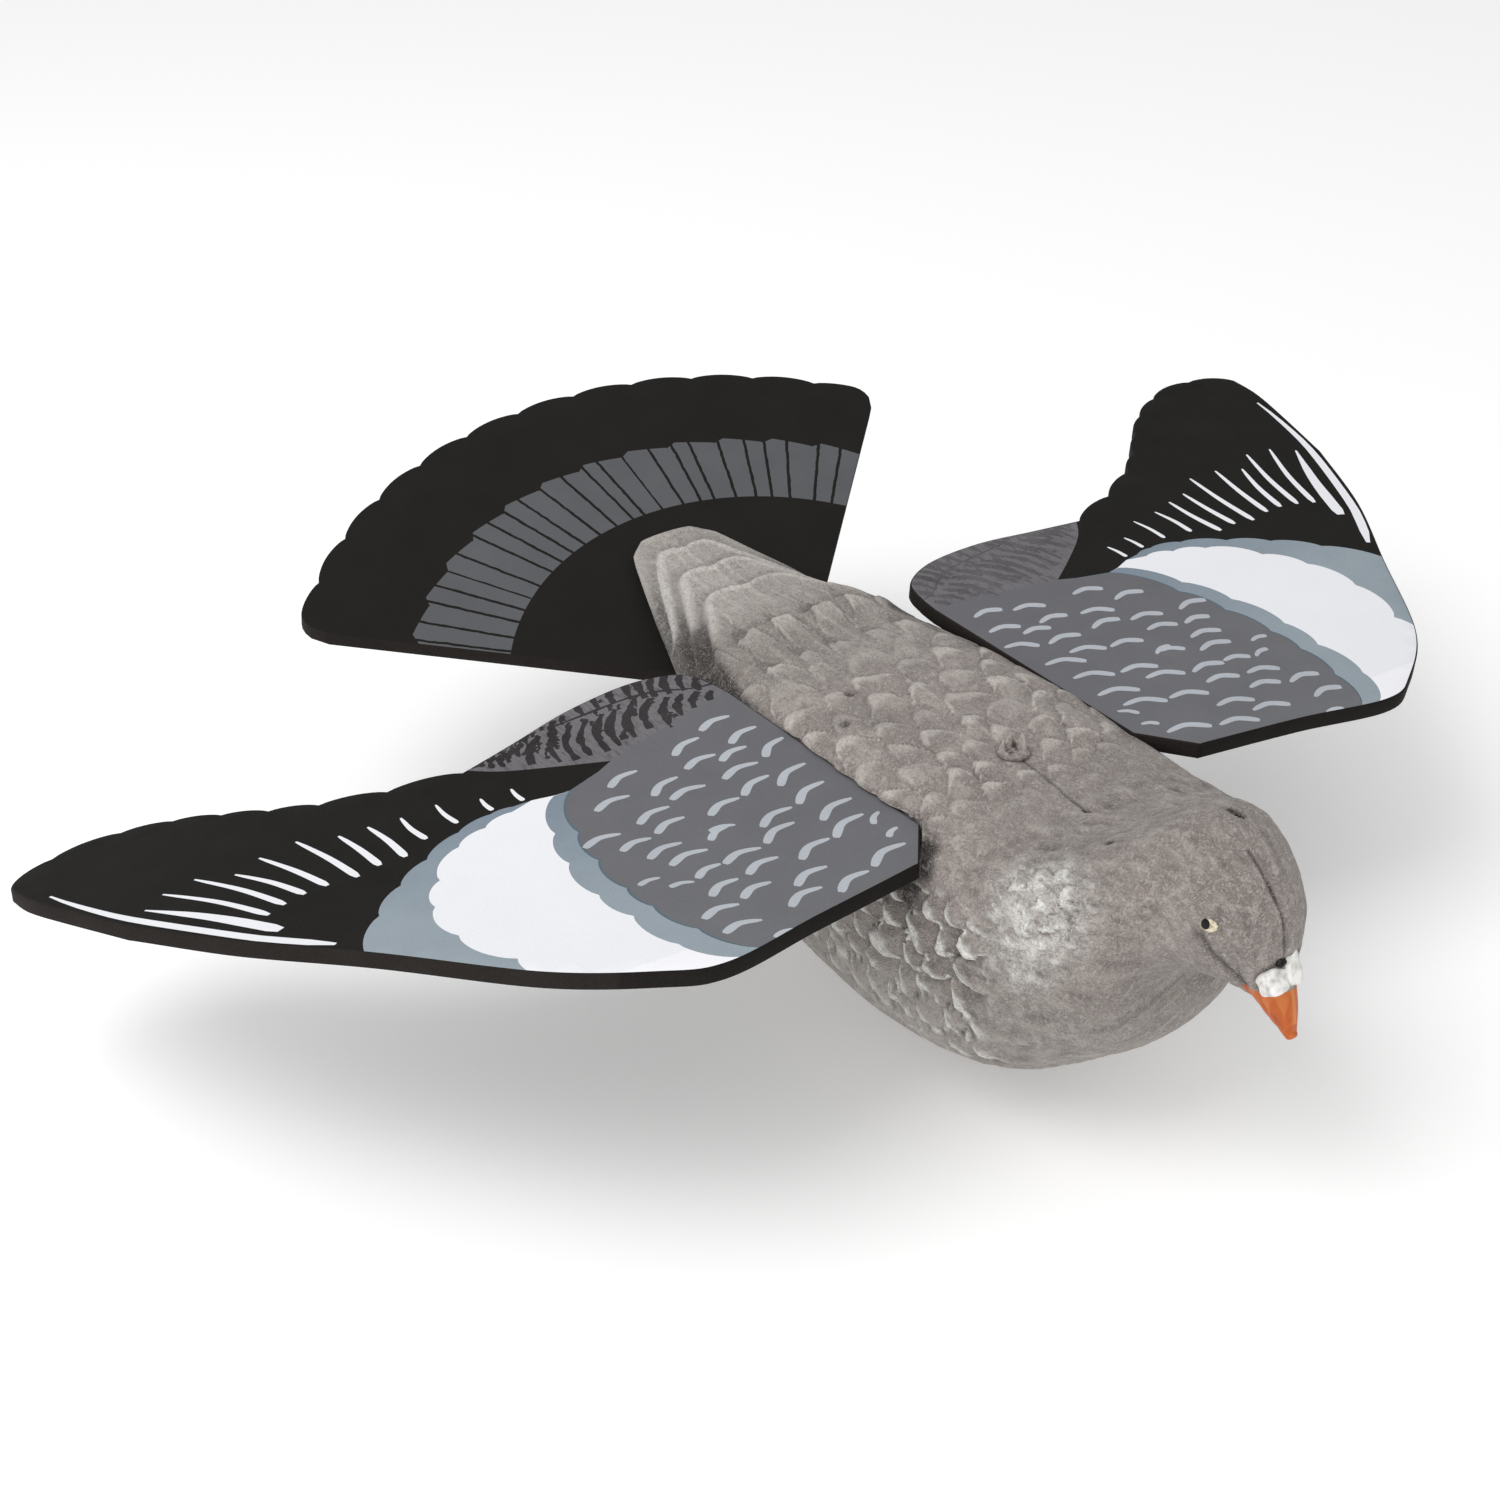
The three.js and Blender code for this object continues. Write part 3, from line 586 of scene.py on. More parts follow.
    # The tail is thin: nothing is cut deeper into it than a third, and nothing into its underside.
    onTail = smoothStep(68, 76, share)
    relief *= 1 - onTail * smoothStep(0.2, -0.4, outward[:, 2])
    sections = points.reshape(rows, count, 3)
    wide = np.repeat(np.abs(sections[:, :, 0]).max(axis=1), count)
    deep = np.repeat(np.ptp(sections[:, :, 2], axis=1), count)
    room = 0.33 * deep * np.sqrt(np.clip(1 - (points[:, 0] / wide) ** 2, 0, 1)) + 9 * (1 - onTail)
    relief = np.maximum(relief, -room)
    relief *= np.clip(share / 3.0, 0, 1)
    relief += 0.45 * smoothStep(1.6, 0.3, share)   # the beak ends in a small round knob
    points = points + outward * relief[:, None]
    points[:, 2] = np.maximum(points[:, 2], 0)

    up = points[:, 2]
    # Painted bounce light makes the low body paler, and the tail's rims get pale down as painted highlight,
    # stronger on the lit side and weaker in the painted shadow.
    pale += 0.55 * smoothStep(66, 30, up) * (1 - 0.6 * front)
    down += 0.26 * smoothStep(74, 88, share) * (0.6 + 1.2 * layerRim * litSide) * (1 - 0.8 * tailShadow)
    green = np.clip(0.65 * smoothStep(95, 40, up) + 0.5 * smoothStep(55, 70, share), 0, 1)
    beakLine = np.interp(share, (-1, 1.6, 2.6, 4.3), (26.2, 25.2, 24.75, 25.3))
    onBeak = (up / unit < beakLine) & (share < 4.3)
    rings = np.arange(rows * count).reshape(rows, count).tolist()
    quads = facesBetween(rings)
    kinds = (onBeak[np.array(quads)].sum(axis=1) >= 2).astype(int).tolist() + [1, 0]
    body = newPiece("flockedBody", points, quads + [rings[0][::-1], rings[-1]],
                    [finishes["flock"], finishes["beak"]], kinds)
    # rim carries the pale tone, painted highlight and painted bounce light, the dark attribute the dark tone
    # and painted shade, and down pale down with painted highlight.
    for name, values in (("rim", pale), ("toneAndShade", dark), ("down", down), ("green", green)):
        addAttribute(body, name, np.clip(values, 0, 1.6))
    return body


# Wings

wingLook = {
    "reach": 226.0,
    "thickness": 6.0,
    "tabDepth": 15.0,
    "edgeRound": 0.6,     # mm of rounding along the cut edge
    "spacing": 2.2,       # mm between the outline's points
    "grid": 9.0,          # mm between points that carry the bend
    "chord": 0.66,        # from front to back, as a share of the reach
    "sharpFrom": math.radians(50),
    "rightPose": {"lift": 1.2, "pitch": 0.6, "curl": 14.0, "twist": -34.7},
    "leftPose": {"lift": -2.4, "pitch": -1.8, "curl": 2.8, "twist": 10.7},
    "root": (18.4 * unit, bodyY(30.9), 30.0 * unit),
}

# The cut outline, u outwards and v backwards from the front root corner, in mm. The hand has one scallop more
# than in the part's source, as the photograph shows.
wingFront = [(0, 0), (45, -6), (84, -13), (104, -6), (133, 16), (165, 60), (192, 98), (212, 138)]
wingTip = [(212, 138), (221, 168), (226.5, 190), (227, 205)]
wingBehind = [(-14, 134), (-9, 148), (8, 157), (34, 158.5), (60, 154), (82, 150)]
handCusps = [(82, 150), (107, 159), (128, 170), (142, 181), (154.5, 193), (168, 204.5), (184, 213),
             (208.5, 215.5), (227, 205)]

# The printed pigeon markings, in the same places on both wings.
blueRim = [(167, 57), (151, 81), (136, 95), (121, 105), (104, 114), (90, 117), (82, 116)]
whiteRim = [(130, 6), (133, 27), (139, 52), (135, 74), (125, 89), (109, 105), (96, 110), (84, 113)]
innerBlueRim = [(80, -12), (90, 5), (91, 28), (92, 46), (88, 70), (81, 90), (68, 112)]
covertRim = [(71, -11), (79, 9), (82, 29), (82, 44), (79, 65), (74, 85), (61, 111)]
belowCoverts = [(48, 115), (41, 118), (27, 121), (11, 124), (-3, 127), (-12, 127), (-30, 127)]
flightRim = [(41, 118), (56, 128), (72, 140), (81, 151)]
primaryStreaks = [
    [(76, 127), (77, 117)], [(87, 129), (88, 119)], [(100, 137), (101, 120)], [(113, 138), (114, 118)],
    [(124, 141), (123, 127), (125, 112)], [(134, 143), (133, 128), (134, 113)],
    [(146, 151), (143, 130), (143, 111)], [(160, 150), (155, 131), (153, 113)],
    [(171, 145), (164, 130), (161, 113)], [(182, 153), (173, 132), (169, 111)],
    [(194, 151), (182, 130), (176, 108)],
]
leadingStreaks = [
    ([(203, 144), (190, 121), (178, 95)], [(0, 0.8), (0.3, 3.4), (0.7, 5.0), (0.95, 5.0), (1, 3.2)]),
    ([(220.5, 184), (217, 167), (208.3, 139.6), (189, 100), (177, 82), (170, 73)],
     [(0, 0.9), (0.15, 2.2), (0.4, 3.4), (0.92, 4.0), (1, 1.6)]),
]
covertTicks = [
    (51, 103, 38, 106), (63, 93, 49, 94), (43, 88, 30, 93), (40, 82, 26, 82), (57, 76, 43, 79),
    (56, 67, 43, 70), (79, 75, 65, 75), (71, 65, 59, 66), (67, 55, 53, 57), (64, 47, 49, 48),
    (23, 105, 10, 109), (25, 95, 12, 96), (7, 112, -6, 113), (13, 91, 1, 93), (4, 98, -9, 101),
    (19, 81, 4, 82), (20, 68, 6, 73), (0, 83, -12, 89), (7, 65, -8, 71), (9, 52, -6, 58), (36, 65, 22, 68),
    (27, 48, 12, 52), (32, 39, 17, 44), (9, 39, -7, 44), (12, 28, -4, 34), (-3, 27, -9, 32),
    (-2, 18, -8, 21), (50, 37, 35, 38), (48, 27, 34, 30), (62, 35, 51, 38), (65, 23, 52, 27),
    (58, 16, 45, 19), (75, 13, 61, 14), (75, 2, 61, 2), (29, 24, 14, 29), (40, 12, 25, 16), (49, 3, 34, 7),
    (13, 7, -4, 12), (31, 1, 16, 6), (79, 43, 71, 43), (72, 36, 64, 34), (64, -9, 56, -8), (45, 52, 35, 56),
    (42, 57, 33, 55),
]
# Broken strokes along the secondaries, each from its rear end to its front end.
flightStrokes = [
    (16, 166, 25, 150), (9, 165, 19, 150), (3, 163, 13, 147), (-1, 161, 9, 144), (-4, 157, 6, 142),
    (-7, 154, 1, 140), (-11, 150, -4, 138), (-13, 143, -8, 134), (25, 165, 31, 151), (50, 151, 62, 136),
    (44, 150, 54, 130), (38, 149, 49, 127), (32, 148, 44, 126), (26, 147, 38, 124), (21, 146, 33, 124),
    (14, 145, 26, 125), (8, 143, 19, 126), (3, 139, 12, 124), (-2, 137, 6, 125), (-7, 134, 0, 126),
    (-11, 131, -7, 126),
]
flightMiddle = [(-15, 134), (-9, 136), (-4, 139), (1, 143), (8, 147), (14, 149), (21, 150), (29, 151),
                (37, 152), (45, 153)]
# Small broken strokes between them, closer together outwards, and then fine ones beside the hand: how many,
# where u starts, how far it runs and with which power, how the foremost v rises with u, their reach, how far
# that goes along u and v, the steps and range of their width, and their bend.
smallStrokes = [
    (110, 82, -78, 1.4, 0.4, (2, 8), (0.55, 0.85), 6, (0.5, 2.6), 0.15),
    (90, 46, 36, 1.0, 0.42, (1.5, 4.5), (0.7, 0.7), 4, (0.4, 1.6), 0.2),
]
# Widths in mm at shares of a stroke's length.
tickWidths = [(0, 1.9), (0.08, 3.0), (0.25, 3.3), (0.5, 2.8), (0.85, 2.2), (1, 1.1)]
streakWidths = [(0, 0.8), (0.12, 1.6), (0.5, 2.4), (0.92, 2.9), (1, 1.5)]


# Dense points on a smooth plane curve through these, evenly spaced.
def planeCurve(points, spacing):
    p = np.array(points, float)
    padded = np.vstack([p[0], p, p[-1]])
    dense = []
    for i in range(len(p) - 1):
        p0, p1, p2, p3 = padded[i:i + 4]
        v0, v1 = (p2 - p0) / 2, (p3 - p1) / 2
        t = np.linspace(0, 1, 41)[:, None]
        dense.append((2 * p1 - 2 * p2 + v0 + v1) * t ** 3 + (-3 * p1 + 3 * p2 - 2 * v0 - v1) * t ** 2
                     + v0 * t + p1)
    dense = np.vstack(dense)
    run = np.concatenate([[0], np.cumsum(np.linalg.norm(np.diff(dense, axis=0), axis=1))])
    keep = np.concatenate([[True], np.diff(run) > 1e-9])
    at = np.linspace(0, run[-1], max(3, round(run[-1] / spacing) + 1))
    return np.stack([np.interp(at, run[keep], dense[keep, 0]), np.interp(at, run[keep], dense[keep, 1])],
                    axis=1)


# Arcs from cusp to cusp, each swelling out by this share of its chord.
def scallopLine(cusps, bulge):
    steps = 9
    line = [np.array(cusps[0], float)]
    for start, end in zip(cusps, cusps[1:]):
        start, end = np.array(start, float), np.array(end, float)
        chord = end - start
        for i in range(1, steps + 1):
            t = i / steps
            swell = bulge * math.sin(t * math.pi) ** 0.7 if i < steps else 0.0
            line.append(start + chord * t + np.array((chord[1], -chord[0])) * swell)
    return np.array(line)


def wingOutline():
    hand = np.vstack([scallopLine(handCusps[:-4:-1], 0.15), scallopLine(handCusps[-3::-1], 0.11)[1:]])
    tab, spacing = wingLook["tabDepth"], wingLook["spacing"]
    parts = [np.array([(-tab, 18.0)]), planeCurve(wingFront, spacing), planeCurve(wingTip, spacing)[1:],
             hand[1:], planeCurve(wingBehind, spacing)[::-1][1:], np.array([(-tab, 126.0)])]
    return np.vstack(parts)


def shifted(outline, distance):
    before, after = np.roll(outline, 1, axis=0), np.roll(outline, -1, axis=0)
    run = after - before
    normal = np.stack([run[:, 1], -run[:, 0]], axis=1)
    normal /= np.linalg.norm(normal, axis=1)[:, None].clip(1e-9)
    return outline + normal * distance


# A brush stroke along a curve, with its width given at a few shares of its length.
def stroke(path, widths, bend=0.0, size=1.0):
    path = np.array(path, float)
    if len(path) == 2:
        run = path[1] - path[0]
        path = np.array([path[0], path.mean(axis=0) + np.array((-run[1], run[0])) * bend, path[1]])
    line = planeCurve(path, np.linalg.norm(path[-1] - path[0]) / 14)
    half = np.interp(np.linspace(0, 1, len(line)), *zip(*widths)) * size / 2
    run = np.gradient(line, axis=0)
    normal = np.stack([-run[:, 1], run[:, 0]], axis=1)
    normal /= np.linalg.norm(normal, axis=1)[:, None]
    return np.vstack([line + normal * half[:, None], (line - normal * half[:, None])[::-1]])


# The layers of ink from the lowest to the topmost, each an ink and its outline.
def wingPrint(strokeInk):
    rootSide = belowCoverts + [(-30, -40)]
    corner = [(75, 115), (67, 112), (61, 111)]
    coverts = scallopLine(covertRim, 0.12)
    layers = [
        ("blue", np.vstack([scallopLine(blueRim, 0.11), corner, rootSide,
                            [(150, -40), (190, 20), (178, 48)]])),
        ("white", np.vstack([scallopLine(whiteRim, 0.15), corner, rootSide, [(110, -40), (130, -8)]])),
        ("blue", np.vstack([scallopLine(innerBlueRim, 0.12), corner[2:], rootSide, [(78, -40)]])),
        ("line", np.vstack([coverts + np.array((0.9, 0.3)), rootSide, [(70, -40)]])),
        ("slate", np.vstack([coverts, rootSide, [(70, -40)]])),
        ("flight", np.vstack([planeCurve(flightRim, 4), [(82, 175), (-30, 175)], belowCoverts[::-1][:-2]])),
    ]
    for u0, v0, u1, v1 in covertTicks:
        size = min(1.0, max(0.75, math.hypot(u1 - u0, v1 - v0) / 12))
        layers.append(("tick", stroke([(u0, v0), (u1, v1)], tickWidths, -0.17 * size, size)))
    for path in primaryStreaks:   # the short ones are thinner, and all are bent only slightly
        size = min(1.0, max(0.68, np.linalg.norm(np.subtract(path[-1], path[0])) / 24))
        if len(path) == 3:
            path = [path[0], tuple(0.5 * np.array(path[1]) + 0.25 * np.add(path[0], path[2])), path[2]]
        layers.append(("white", stroke(path, streakWidths, 0.04, size)))
    layers += [("white", stroke(path, widths)) for path, widths in leadingStreaks]
    chance = random.Random(7)
    for u0, v0, u1, v1 in flightStrokes:
        ragged = [(i / 11, chance.uniform(1.8, 4.4) * (1 - 0.3 * abs(i / 5.5 - 1))) for i in range(12)]
        layers.append((strokeInk, stroke([(u0, v0), (u1, v1)], ragged, 0.12)))
    layers.append((strokeInk, stroke(flightMiddle, [(i / 30, chance.uniform(0.5, 1.9)) for i in range(31)])))
    rimU, rimV = zip(*flightRim)
    for number, start, span, power, rise, reaches, (alongU, alongV), steps, widths, bend in smallStrokes:
        for _ in range(number):
            u = start + span * chance.random() ** power
            v = chance.uniform(max(119, 120 + rise * u), 158)
            reach = chance.uniform(*reaches)
            end = (u + alongU * reach, v - alongV * reach)
            if end[0] < np.interp(end[1], rimV, rimU) - 2:   # none runs out into the black hand
                ragged = [(i / steps, chance.uniform(*widths)) for i in range(steps + 1)]
                layers.append((strokeInk, stroke([(u, v), end], ragged, bend)))
    return layers


def counterClockwise(points):
    x, y = points[:, 0], points[:, 1]
    return points if np.dot(x, np.roll(y, -1)) - np.dot(y, np.roll(x, -1)) > 0 else points[::-1]


# Triangles over an outline, cut along the print's edges. Each one knows the topmost layer that covers it.
def cutSheet(outline, layers, grid):
    points, loops = [], []
    for polygon in [outline] + [points for _, points in layers]:
        polygon = counterClockwise(polygon)
        loops.append(list(range(len(points), len(points) + len(polygon))))
        points += [Vector(p) for p in polygon]
    low, high = outline.min(axis=0), outline.max(axis=0)
    for u in np.arange(low[0] + 0.37, high[0], grid):
        points += [Vector((u, v)) for v in np.arange(low[1] + 0.53, high[1], grid)]
    verts, _, faces, _, _, origins = delaunay_2d_cdt(points, [], loops, 1, 1e-4)
    tailShadow = [(face, max(source)) for face, source in zip(faces, origins) if 0 in source]
    used = sorted({i for face, _ in tailShadow for i in face})
    renumber = {old: new for new, old in enumerate(used)}
    flat = np.array([verts[i] for i in used])
    triangles = [[renumber[i] for i in face] for face, _ in tailShadow]
    return flat, triangles, [top for _, top in tailShadow]


def rimLoop(triangles):
    edges = {(t[i], t[(i + 1) % 3]) for t in triangles for i in range(3)}
    follow = {a: b for a, b in edges if (b, a) not in edges}
    start = next(iter(sorted(follow)))
    loop = [start]
    while follow[loop[-1]] != start:
        loop.append(follow[loop[-1]])
    return loop


# A bent board in its slot. side is 1 for the left wing and -1 for the right one.
def wingBoard(name, pose, side, layers, grow=0.0):
    look = wingLook
    inset = look["edgeRound"]
    outline = shifted(shifted(wingOutline(), grow), -inset)
    flat, triangles, covers = cutSheet(outline, layers, look["grid"])
    loop = rimLoop(triangles)
    deep = look["thickness"] + grow
    points = [np.column_stack([flat, np.full(len(flat), grow)])]
    for outwards, down in ((0.7 * inset, 0.3 * inset), (inset, inset), (inset, grow + deep - inset),
                           (0.7 * inset, grow + deep - 0.3 * inset)):
        points.append(np.column_stack([shifted(flat[loop], outwards), np.full(len(loop), grow - down)]))
    points.append(np.column_stack([flat, np.full(len(flat), -deep)]))
    sizes = np.cumsum([0] + [len(p) for p in points])
    rings = [loop] + [list(range(first, first + len(loop))) for first in sizes[1:-2]]
    rings.append([sizes[-2] + i for i in loop])
    walls = facesBetween(rings[::-1])
    faces = triangles + walls + [[sizes[-2] + i for i in reversed(t)] for t in triangles]
    inks = {ink: i for i, ink in enumerate(["foam", "edge"] + sorted({ink for ink, _ in layers}))}
    kinds = [0 if top == 0 else inks[layers[top - 1][0]] for top in covers]
    kinds += [1] * len(walls) + [0] * len(triangles)
    at = np.vstack(points)
    drawing = at[:, :2].copy()
    u, v = at[:, 0] / look["reach"], at[:, 1] / (look["chord"] * look["reach"])
    at[:, 2] += pose["curl"] * u ** 2 + pose["twist"] * u * v
    at[:, 0] *= side
    turn = (Matrix.Rotation(-side * math.radians(pose["lift"]), 3, "Y")
            @ Matrix.Rotation(-math.radians(pose["pitch"]), 3, "X"))
    at = at @ np.array(turn).T + np.array(look["root"]) * (side, 1, 1)
    if side < 0:
        faces = [face[::-1] for face in faces]
    board = newPiece(name, at, faces, [finishes[ink] for ink in inks], kinds)
    board.data.set_sharp_from_angle(angle=look["sharpFrom"])
    uvs = board.data.uv_layers.new(name="UVMap")
    corners = np.array([corner.vertex_index for corner in board.data.loops])
    uvs.data.foreach_set("uv", drawing[corners].astype(np.float32).ravel())
    return board


# Fan tail

fanLook = {
    # The first six are the sheet's inputs. The corners are rounder than in the part's source.
    "Radius": 190.0, "Half Angle": 49.4, "Feathers": 12, "Lobe Height": 2.28, "Corner Radius": 10.45,
    "Inner Radius": 14.0,
    "thickness": 6.0, "edgeRound": 0.6,
    "columns": 12.0, "rows": 16,   # faces across a feather, points along the radius
    "tilt": 16.7, "turn": 2.9, "roll": -3.5,
    "place": (0.0, bodyY(73.6), 23.3 * unit),
    "bandInner": 111.0, "bandOuter": 149.0, "toothHeight": 3.2, "hairWidth": 1.3,
    "ragged": 4.0, "clouds": 20.0,
    "black": ("#181715", "#201f1c"), "grey": ("#545558", "#606164"),
}


# Black foam with its printed grey band: saw-toothed outside, and crossed by thin dark radial lines.
# The UV map holds the share of the fan's angle and the radius in mm.
def fanPrint():
    material, tree, place = newMaterial("bandedFoam", foamLook["surface"])
    look = fanLook
    drawing = addNode(tree, "ShaderNodeSeparateXYZ",
                      {0: addNode(tree, "ShaderNodeUVMap", uv_map="UVMap")}).outputs
    cells, ragged, cloud = (addNode(tree, "ShaderNodeTexNoise", {"Vector": place, "Scale": 1 / (size * mm),
                                                                 "Detail": detail})
                            for size, detail in ((foamLook["cells"], 2.0), (look["ragged"], 3.0),
                                                 (look["clouds"], 4.0)))
    known = {"share": drawing[0], "radius": drawing[1], "ragged": ragged}
    sums = [
        ("feather", "MULTIPLY", "share", float(look["Feathers"])), ("number", "FLOOR", "feather"),
        ("phase", "FRACT", "feather"), ("rise", "MULTIPLY", "phase", 4.5),
        ("fall", "SUBTRACT", 1.15, "phase"), ("tooth", "MINIMUM", "rise", "fall"),
        ("outer", "MULTIPLY_ADD", "tooth", look["toothHeight"], look["bandOuter"] - look["toothHeight"]),
        ("below", "LESS_THAN", "radius", "outer"), ("above", "GREATER_THAN", "radius", look["bandInner"]),
        ("band", "MULTIPLY", "below", "above"), ("halfLine", "DIVIDE", look["hairWidth"] * 3.5, "radius"),
        ("wobble", "MULTIPLY_ADD", "ragged", 0.06, -0.03),
    ]
    # Two lines a feather, at its edge and near its middle, each a little out of true.
    for middle in (0.04, 0.52):
        sums += [("turn", "MULTIPLY", "number", 2.4 + middle), ("swing", "SINE", "turn"),
                 ("line", "MULTIPLY_ADD", "swing", 0.07, middle + 0.04), ("here", "ADD", "line", "wobble"),
                 ("off", "SUBTRACT", "phase", "here"), ("away", "ABSOLUTE", "off"),
                 ("bare", "GREATER_THAN", "away", "halfLine"), ("band", "MULTIPLY", "band", "bare")]
    for result, operation, *terms in sums:
        values = {i: known.get(term, term) for i, term in enumerate(terms)}
        known[result] = addNode(tree, "ShaderNodeMath", values, operation=operation)
    black, grey = (addNode(tree, "ShaderNodeMix", {0: cloud, 6: toLinear(first), 7: toLinear(second)},
                           data_type="RGBA") for first, second in (look["black"], look["grey"]))
    tint = addNode(tree, "ShaderNodeMix", {0: known["band"], 6: black, 7: grey}, data_type="RGBA")
    return finish(material, tint, [], cells, *foamLook["relief"])


# The flat fan follows a rule: a polar sheet whose outer edge swells once a feather.
def fanTree():
    tree = bpy.data.node_groups.new("fanSheet", "GeometryNodeTree")
    sockets = {name: tree.interface.new_socket(name=name, in_out="INPUT",
                                               socket_type="NodeSocket" + kind).identifier
               for name, kind in (("Radius", "Float"), ("Half Angle", "Float"), ("Lobe Height", "Float"),
                                  ("Corner Radius", "Float"), ("Inner Radius", "Float"), ("Feathers", "Int"),
                                  ("Finish", "Material"))}
    tree.interface.new_socket(name="Geometry", in_out="OUTPUT", socket_type="NodeSocketGeometry")
    given = addNode(tree, "NodeGroupInput").outputs
    columns = addNode(tree, "ShaderNodeMath", {0: given["Feathers"], 1: fanLook["columns"], 2: 1.0},
                      operation="MULTIPLY_ADD")
    grid = addNode(tree, "GeometryNodeMeshGrid", {"Size X": 1.0, "Size Y": 1.0, "Vertices X": columns,
                                                  "Vertices Y": fanLook["rows"]})
    at = addNode(tree, "ShaderNodeSeparateXYZ", {0: addNode(tree, "GeometryNodeInputPosition")})
    known = {name: given[name] for name in sockets} | {"x": at.outputs[0], "y": at.outputs[1]}
    for result, operation, *terms in [
        ("share", "ADD", "x", 0.5), ("outwards", "ADD", "y", 0.5), ("twice", "MULTIPLY", "x", 2.0),
        ("angle", "MULTIPLY", "twice", "Half Angle"), ("feather", "MULTIPLY", "share", "Feathers"),
        ("phase", "FRACT", "feather"), ("halfTurn", "MULTIPLY", "phase", math.pi),
        ("arch", "SINE", "halfTurn"), ("rounded", "MAXIMUM", "arch", 0.0), ("swell", "POWER", "rounded", 0.7),
        ("turned", "ABSOLUTE", "angle"), ("left", "SUBTRACT", "Half Angle", "turned"),
        ("toSide", "MULTIPLY", "left", "Radius"), ("inCorners", "DIVIDE", "toSide", "Corner Radius"),
        ("near", "MINIMUM", "inCorners", 1.0), ("far", "SUBTRACT", 1.0, "near"),
        ("squared", "POWER", "far", 2.0), ("rest", "SUBTRACT", 1.0, "squared"), ("root", "SQRT", "rest"),
        ("rounding", "SUBTRACT", 1.0, "root"),
        ("lobed", "MULTIPLY_ADD", "swell", "Lobe Height", "Radius"),
        ("cornerCut", "MULTIPLY", "rounding", "Corner Radius"), ("outer", "SUBTRACT", "lobed", "cornerCut"),
        ("reach", "SUBTRACT", "outer", "Inner Radius"),
        ("radius", "MULTIPLY_ADD", "reach", "outwards", "Inner Radius"),
        ("radiusInMm", "MULTIPLY", "radius", 1 / mm), ("sideways", "SINE", "angle"),
        ("ahead", "COSINE", "angle"), ("placeX", "MULTIPLY", "radius", "sideways"),
        ("placeY", "MULTIPLY", "radius", "ahead"),
    ]:
        values = {i: known.get(term, term) for i, term in enumerate(terms)}
        known[result] = addNode(tree, "ShaderNodeMath", values, operation=operation)
    drawing = addNode(tree, "ShaderNodeCombineXYZ", {0: known["share"], 1: known["radiusInMm"]})
    stored = addNode(tree, "GeometryNodeStoreNamedAttribute",
                     {"Geometry": grid, "Name": "UVMap", "Value": drawing},
                     data_type="FLOAT2", domain="CORNER")
    spread = addNode(tree, "ShaderNodeCombineXYZ", {0: known["placeX"], 1: known["placeY"]})
    fanned = addNode(tree, "GeometryNodeSetPosition", {"Geometry": stored, "Position": spread})
    real = addNode(tree, "GeometryNodeRealizeInstances", {0: fanned})
    finished = addNode(tree, "GeometryNodeSetMaterial", {"Geometry": real, "Material": given["Finish"]})
    addNode(tree, "NodeGroupOutput", {0: finished})
    return tree, sockets


def makeFan(name, grow=0.0):
    look = fanLook
    fan = newPiece(name, [(0, 0, 0)], [], [])
    tree, sockets = fanTree()
    modifier = fan.modifiers.new("sheet", "NODES")
    modifier.node_group = tree
    for size, value in (("Radius", (look["Radius"] + grow) * mm),
                        ("Half Angle", math.radians(look["Half Angle"])),
                        ("Lobe Height", look["Lobe Height"] * mm),
                        ("Corner Radius", look["Corner Radius"] * mm),
                        ("Inner Radius", look["Inner Radius"] * mm),
                        ("Feathers", look["Feathers"]), ("Finish", fanPrint())):
        modifier[sockets[size]] = value
    applyModifiers(fan)
    for ink in ("foam", "edge"):
        fan.data.materials.append(finishes[ink])
    wall = fan.modifiers.new("wall", "SOLIDIFY")
    wall.thickness = (look["thickness"] + 2 * grow) * mm
    wall.offset = -1
    wall.material_offset = 1
    wall.material_offset_rim = 2
    if not grow:
        soft = fan.modifiers.new("soft", "BEVEL")
        soft.width = look["edgeRound"] * mm
        soft.segments = 2
        soft.limit_method = "ANGLE"
        soft.angle_limit = math.radians(60)
    applyModifiers(fan)
    placed = Matrix.Translation(Vector(look["place"]) * mm)
    for angle, axis in (("roll", "Y"), ("tilt", "X"), ("turn", "Z")):
        placed = placed @ Matrix.Rotation(math.radians(look[angle]), 4, axis)
    fan.data.transform(placed @ Matrix.Translation((0, 0, grow * mm)))
    fan.data.shade_smooth()
    fan.data.set_sharp_from_angle(angle=wingLook["sharpFrom"])
    return fan


# Boards, then the body with a slot for each of them

rightWing = wingBoard("rightWing", wingLook["rightPose"], -1, wingPrint("dark"))
leftWing = wingBoard("leftWing", wingLook["leftPose"], 1, wingPrint("faint"))
print("wings made")
fanTail = makeFan("fanTail")
print("fan made")

body = makeBody()
gap = bodyLook["slotGap"]
cutters = [wingBoard("rightSlot", wingLook["rightPose"], -1, [], gap),
           wingBoard("leftSlot", wingLook["leftPose"], 1, [], gap), makeFan("fanSlot", gap)]
for cutter in cutters:
    cutter.data.materials.clear()
    cutter.data.materials.append(finishes["flock"])
    cut = body.modifiers.new(cutter.name, "BOOLEAN")
    cut.object = cutter
    cut.operation = "DIFFERENCE"
    cut.solver = "MANIFOLD"
applyModifiers(body)
for cutter in cutters:
    bpy.data.objects.remove(cutter)
body.data.shade_smooth()
body.data.set_sharp_from_angle(angle=bodyLook["sharpFrom"])
print("body made,", len(body.data.polygons), "faces")


# Small moulded parts of the head and back

